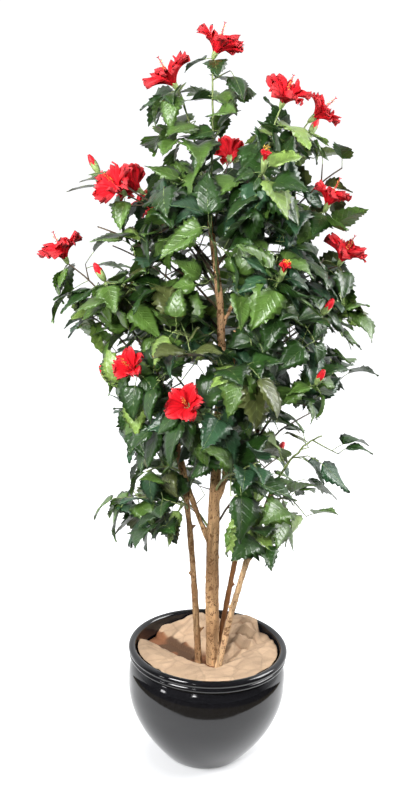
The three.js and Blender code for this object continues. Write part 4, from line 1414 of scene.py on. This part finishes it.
class HIBISCUS_OT_paper(bpy.types.Operator):
    """Crumple the kraft paper that hides the plug in the pot"""

    bl_idname = "hibiscus.paper"
    bl_label = "Kraft paper"

    RINGS = 72
    SECTORS = 320
    OUTER, INNER = 0.1715, 0.002
    THICK = 0.0009
    # Heights of the band's edge, of the hollow, of the deep fold at its left and of the gap round the stems.
    BAND, HOLLOW, FOLD, GAP = 0.266, 0.240, 0.243, 0.234
    # The room between two pleats, and how far the paper stays over the plug and may rise over its solid.
    PLEAT, OFF_PLUG, OVER_SOLID = 0.034, 0.002, 0.006

    def execute(self, context):
        bpy.ops.object.select_all(action="DESELECT")
        bpy.ops.mesh.primitive_circle_add(vertices=self.SECTORS, radius=self.OUTER, location=(0, 0, 0))
        piece = context.object
        edit(piece)
        radii = np.linspace(self.OUTER, self.INNER, self.RINGS)
        for before, after in zip(radii, radii[1:]):
            bpy.ops.mesh.extrude_region_move(TRANSFORM_OT_translate={"value": (0, 0, 0)})
            bpy.ops.transform.resize(value=(after / before, after / before, 1), center_override=(0, 0, 0))
        leave_edit()
        corners, dark = self.folded(corners_of(piece))
        move_corners(piece, corners)
        # The fold attribute carries the painted shade for the paper's finish.
        piece.data.attributes.new("fold", "FLOAT", "POINT").data.foreach_set("value", dark)
        edit(piece)
        bpy.ops.mesh.normals_make_consistent(inside=False)
        leave_edit()
        apply_modifier(piece, "SOLIDIFY", thickness=self.THICK, offset=-1)
        hand_over(piece, "crumpled_paper", [paper_finish()], "kraft_paper", "kraft_paper")
        return {"FINISHED"}

    def folded(self, corners):
        """A smooth band along the front and the right wall, and a rumpled hollow behind its rolled edge.
        Gives the corners and how much painted shade each one takes."""
        x, y = corners[:, 0], corners[:, 1]
        angle, reach = np.arctan2(y, x), np.hypot(x, y)
        rng = np.random.default_rng(sizes().seed)
        coarse, fine = creases(x, y, rng, 3, 0.085), creases(x, y, rng, 4, 0.030)
        # How far a place lies in front of the band's edge, a V with a round foot and a steeper right arm.
        edge = np.hypot(np.where(x < 0.014, 0.9, 1.4) * (x - 0.014), 0.024) - 0.107
        ahead = np.minimum(edge, 0.042) - y
        ahead = np.maximum(ahead, 0.8 * (x - 0.128)) + 0.003 * coarse
        band = cliff(-ahead)
        rise = slope(ahead, 0, 0.06)
        top = self.BAND + 0.012 * np.sqrt(rise) + 0.0050 * coarse * rise + 0.0032 * fine
        # The hollow rises to the back, dips at its left and swells at its right.
        hollow = self.HOLLOW + 0.008 * slope(reach, 0.03, 0.03) + 0.024 * slope(y, -0.03, 0.16) ** 1.2
        hollow -= 0.008 * hill(angle, 2.45, 0.42) * (reach / self.OUTER) ** 3
        hollow += 0.014 * hill(angle, 0.9, 0.7) * (reach / self.OUTER) ** 2
        hollow += (0.015 * coarse + 0.010 * fine) * slope(reach, 0.02, 0.03)
        # Upright pleats at the right, which run round the stems.
        turns = np.hypot(x - 0.010, y + 0.035) / self.PLEAT % 1
        pleats = hill(angle, 0.55, 0.62) * slope(reach, 0.055, 0.04)
        hollow += 0.016 * pleats * (1 - 2 * np.abs(turns - 0.5))
        pleat_shade = pleats * np.clip(1 - 12 * np.abs(turns - 0.06), 0, 1)
        # One deep fold at the left, and a gap round the stems.
        wall = -ahead - 0.084 + 0.22 * np.clip(x + 0.095, 0, 1) - 0.010 * coarse
        aside = slope(-x, 0.022, 0.010)
        hollow += (self.FOLD - hollow) * cliff(wall, aside)
        gap = cliff(reach - 0.034 - 0.004 * fine)
        hollow += (self.GAP - hollow) * gap
        # Painted shade: the left fold, the gap round the stems and the pleats' grooves are marked to be
        # darkened.
        dark = np.maximum.reduce([cliff(wall - 0.010, aside), gap, 0.7 * pleat_shade]) * (1 - band)
        height = band * top + (1 - band) * hollow
        height = np.clip(height, PLUG_HIGH.z + self.OFF_PLUG, PAPER_HIGH.z + self.OVER_SOLID)
        limit = np.minimum(reach * (1 + 0.008 * fine), self.OUTER)
        return np.column_stack((limit * np.cos(angle), limit * np.sin(angle), height)), dark


class HIBISCUS_OT_wood(bpy.types.Operator):
    """Draw out the trunk with its boughs and the three stems, and carve their bark"""

    bl_idname = "hibiscus.wood"
    bl_label = "Trunk, stems and boughs"

    def execute(self, context):
        tones = colours()
        tan = wood_finish("tan_bark", tones.wood, 0.55, tones.painted_light_wood)
        pale = wood_finish("pale_bark", tones.pale_wood, 0.25)
        brown = wood_finish("brown_bark", shade(tones.wood, 0.76), 0.75)
        dark = wood_finish("dark_bark", tones.dark_wood, 0.4)
        wood_piece(("trunk", *BOUGHS), "trunk_and_boughs", tan, "wood", 3)
        wood_piece(("left_stem",), "left_stem_bark", brown, "wood", 4)
        wood_piece(("right_pale_stem",), "pale_stem_bark", pale, "wood", 5)
        wood_piece(("right_dark_stem",), "dark_stem_bark", dark, "dark_wood", 6)
        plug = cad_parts["planting_plug"].data
        plug.materials.clear()
        plug.materials.append(shaded_plaster_finish())
        return {"FINISHED"}


class HIBISCUS_OT_foliage(bpy.types.Operator):
    """Grow the twigs and leaves of every shoot, and join them by kind and tint"""

    bl_idname = "hibiscus.foliage"
    bl_label = "Twigs and leaves"

    # A petiole's bend, the midrib's points as shares of the blade, and the radii at all points of both.
    BEND = 0.0015
    RIB = np.array((0.0, 0.25, 0.5, 0.75, 0.97))
    RADII = (0.0011, 0.0010, 0.0009, 0.0006, 0.0005, 0.0004, 0.0002)

    def execute(self, context):
        growth = grown()
        tones = colours()
        for bark in ("green", "brown"):
            finish = stalk_finish(f"{bark}_twig", getattr(tones, f"{bark}_twig"))
            twigs = growth.twigs[bark].piece()
            hand_over(twigs, f"{bark}_twigs", [finish], "foliage", *growth.masses[bark])
        underside = underside_finish(tones.underside)
        stalks = Joined()
        for tint in TINTS:
            blades = Joined()
            for leaf in growth.leaves[tint]:
                corners, places = leaf_corners(leaf)
                blades.add(corners, LEAF_FACES, LEAF_SLOTS, places)
                self.add_stalk(stalks, leaf)
            finishes = [leaf_finish(f"{tint}_leaf", getattr(tones, tint)), underside]
            piece = blades.piece("blade")
            hand_over(piece, f"{tint}_leaves", finishes, "foliage")
            piece.data.polygons.foreach_set("use_smooth", [slot == 0 for slot in blades.slots])
        midrib = stalk_finish("midrib", tones.midrib)
        hand_over(stalks.piece(), "petioles_and_midribs", [midrib], "foliage")
        return {"FINISHED"}

    def add_stalk(self, stalks, leaf):
        """A petiole, which bends up a little and runs on as the midrib on the blade."""
        rib = leaf.place(self.RIB, 0 * self.RIB, 0 * self.RIB)
        bent = 0.5 * (leaf.node + leaf.foot) + UP * self.BEND
        stalks.tube(np.vstack((leaf.node, bent, rib)), self.RADII, 3)


class HIBISCUS_OT_blooms(bpy.types.Operator):
    """Open the blooms and set the buds at the tips of their shoots"""

    bl_idname = "hibiscus.blooms"
    bl_label = "Blooms and buds"

    # Thickness of the petals' silk.
    SILK = 0.0005

    def execute(self, context):
        tones = colours()
        flowers = Flowers()
        for index, shoot in enumerate(SHOOTS):
            rng = seeded(FLOWER_SEEDS, index)
            if shoot.flower == "bloom":
                flowers.bloom(shoot.tip, shoot.facing, shoot.open, rng)
            elif shoot.flower:
                getattr(flowers, shoot.flower)(shoot.tip, shoot.facing, rng)
        silk = petal_finish()
        petals = flowers.petals.piece("petal")
        blades = 2 * len(petals.data.polygons)
        apply_modifier(petals, "SOLIDIFY", thickness=self.SILK, offset=0)
        hand_over(petals, "bloom_petals", [silk], "petal_red")
        rims = len(petals.data.polygons) - blades
        petals.data.polygons.foreach_set("use_smooth", [True] * blades + [False] * rims)
        for kind, name, finish, slot in (
            (flowers.pistils, "pistils", column_finish(), "petal_red"),
            (flowers.anthers, "anthers", stalk_finish("anther", tones.anther), "petal_red"),
            (flowers.buds, "bud_tips", stalk_finish("bud_silk", tones.petal), "petal_red"),
            (flowers.calyxes, "calyxes", stalk_finish("calyx", tones.midrib), "foliage"),
        ):
            hand_over(kind.piece(), name, [finish], slot)
        return {"FINISHED"}


class HIBISCUS_OT_stage(bpy.types.Operator):
    """Lay the floor, hang the lights and set up the camera"""

    bl_idname = "hibiscus.stage"
    bl_label = "Floor, lights and camera"

    # The pot stands on a round white sheet, which a white floor goes on from behind it.
    SHEET_REACH, SHEET_MIDDLE, SHEET_FAR = 0.66, 0.16, 0.35
    FLOOR_REACH = 100
    # Name, place, target, size in metres and power in watts.
    LIGHTS = (
        ("key", (-2.0, -2.1, 2.7), (0, 0, 1.0), 1.3, 150),
        ("right", (2.6, 0.1, 2.2), (0, 0, 0.9), 1.6, 110),
        ("front", (-0.5, -2.5, 2.0), (0, 0, 1.0), 0.35, 56),
        ("window", (-2.3, -1.3, 0.6), (0, 0, 0.2), 0.3, 4),
        ("lamp", (-0.7, -2.4, 1.2), (0, 0, 0.2), 0.2, 3),
    )
    # The world's strength at two places along Y, the front first, and its colour.
    WORLD_PLACES, WORLD_STRENGTHS, WORLD_COLOUR = (-0.15, 0.35), (0.08, 1.10), (0.97, 0.985, 1, 1)
    # How far the camera looks down and is rolled, in degrees, its lens in millimetres and its nearest reach.
    DOWN, ROLL, LENS, CLIP = 15.05, 2.5, 48.5, 0.05

    def execute(self, context):
        tones = colours()
        white = self.floor_finish("white_floor", tones.floor, 1.0, (0.09, 0.18), (0.18, 0.45), (0.30, 0.76))
        dark = self.floor_finish("dark_floor", tones.dark_floor, 0.1, (0, 0), (1, 0))
        bpy.ops.object.select_all(action="DESELECT")
        bpy.ops.mesh.primitive_circle_add(
            vertices=180, radius=self.SHEET_REACH, fill_type="NGON", location=(0, 0, 0)
        )
        self.lay("sheet", white, (0, self.SHEET_MIDDLE, 0))
        reach = self.FLOOR_REACH
        for name, finish, near, far, height in (
            ("floor", white, self.SHEET_FAR, reach, -0.0005),
            ("pale_floor", white, -reach, self.SHEET_FAR, -0.0010),
            ("dark_floor", dark, -reach, self.SHEET_FAR, -0.0020),
        ):
            bpy.ops.object.select_all(action="DESELECT")
            bpy.ops.mesh.primitive_plane_add(size=1, location=(0, 0, 0))
            edit(context.object)
            bpy.ops.transform.resize(value=(2 * reach, far - near, 1))
            leave_edit()
            self.lay(name, finish, (0, (near + far) / 2, height))
        # The glaze mirrors a dark room in front of the sheet, which is pale to the eye.
        bpy.data.objects["dark_floor"].visible_camera = False
        pale = bpy.data.objects["pale_floor"]
        pale.visible_diffuse = pale.visible_glossy = pale.visible_shadow = False
        self.light_world(context.scene)
        for light in self.LIGHTS:
            self.hang(*light)
        bpy.data.objects["front"].visible_glossy = False
        self.set_camera(context.scene)
        return {"FINISHED"}

    def floor_finish(self, name, tone, fade, *glow):
        """Glow by distance from the pot, so that the floor is dimmer where the pot shades it."""
        finish = Finish(name, tone, 0.9, specular_ior_level=0.0)
        apart = finish.add("ShaderNodeVectorMath", operation="DISTANCE", vector=finish.coordinates)
        apart.inputs[1].default_value = (-0.04, -0.03, 0)
        finish.paint(finish.ramp(apart.outputs["Value"], (0.80, tone), (0.98, shade(tone, fade))))
        finish.shader.inputs["Emission Color"].default_value = (1, 1, 1, 1)
        glow_here = finish.ramp(apart.outputs["Value"], *glow)
        finish.tree.links.new(glow_here, finish.shader.inputs["Emission Strength"])
        return finish.material

    def lay(self, name, finish, shift):
        """Moves the mesh just added and hands it to the stage."""
        floor = bpy.context.object
        floor.name = name
        edit(floor)
        bpy.ops.transform.translate(value=shift)
        leave_edit()
        floor.data.materials.append(finish)

    def light_world(self, scene):
        """Bright behind the plant and dim in front of it, but pale to the eye everywhere."""
        world = bpy.data.worlds.new("studio")
        scene.world = world
        world.use_nodes = True
        tree = world.node_tree
        way = tree.nodes.new("ShaderNodeTexCoord")
        parts = tree.nodes.new("ShaderNodeSeparateXYZ")
        tree.links.new(way.outputs["Generated"], parts.inputs[0])
        ramp = tree.nodes.new("ShaderNodeMapRange")
        for name, (low, high) in (("From", self.WORLD_PLACES), ("To", self.WORLD_STRENGTHS)):
            ramp.inputs[f"{name} Min"].default_value = low
            ramp.inputs[f"{name} Max"].default_value = high
        tree.links.new(parts.outputs["Y"], ramp.inputs["Value"])
        eye = tree.nodes.new("ShaderNodeLightPath").outputs["Is Camera Ray"]
        strength = tree.nodes.new("ShaderNodeMath")
        strength.operation = "MAXIMUM"
        tree.links.new(ramp.outputs[0], strength.inputs[0])
        tree.links.new(eye, strength.inputs[1])
        background = tree.nodes["Background"]
        background.inputs["Color"].default_value = self.WORLD_COLOUR
        tree.links.new(strength.outputs[0], background.inputs["Strength"])

    def hang(self, name, place, target, size, power):
        bpy.ops.object.light_add(type="AREA", location=place)
        light = bpy.context.object
        light.name = name
        light.rotation_euler = (Vector(target) - Vector(place)).to_track_quat("-Z", "Y").to_euler()
        light.data.size = size
        light.data.energy = power
        light.visible_camera = False

    def set_camera(self, scene):
        bpy.ops.object.camera_add(location=EYE)
        camera = bpy.context.object
        camera.rotation_mode = "XYZ"
        camera.rotation_euler = (math.radians(90 - self.DOWN), 0, 0)
        camera.rotation_euler.rotate_axis("Z", math.radians(self.ROLL))
        camera.data.lens = self.LENS
        camera.data.clip_start = self.CLIP
        scene.camera = camera
        scene.view_settings.view_transform = "Standard"


class HIBISCUS_PT_panel(bpy.types.Panel):
    """The steps that dress the frame, in order"""

    bl_idname = "HIBISCUS_PT_panel"
    bl_label = "Artificial hibiscus tree"
    bl_space_type = "VIEW_3D"
    bl_region_type = "UI"
    bl_category = "Hibiscus"

    def draw(self, context):
        for step in STEPS:
            self.layout.operator(step.bl_idname)


STEPS = (
    HIBISCUS_OT_pot,
    HIBISCUS_OT_paper,
    HIBISCUS_OT_wood,
    HIBISCUS_OT_foliage,
    HIBISCUS_OT_blooms,
    HIBISCUS_OT_stage,
)
CLASSES = (HibiscusSizes, HibiscusColours, *STEPS, HIBISCUS_PT_panel)


def register():
    for each in CLASSES:
        bpy.utils.register_class(each)
    bpy.types.Scene.hibiscus_sizes = PointerProperty(type=HibiscusSizes)
    bpy.types.Scene.hibiscus_colours = PointerProperty(type=HibiscusColours)


def unregister():
    del bpy.types.Scene.hibiscus_colours
    del bpy.types.Scene.hibiscus_sizes
    for each in reversed(CLASSES):
        bpy.utils.unregister_class(each)


def main():
    register()
    bpy.ops.hibiscus.pot()
    bpy.ops.hibiscus.paper()
    bpy.ops.hibiscus.wood()
    bpy.ops.hibiscus.foliage()
    bpy.ops.hibiscus.blooms()
    bpy.ops.hibiscus.stage()


if __name__ == "__main__":
    main()
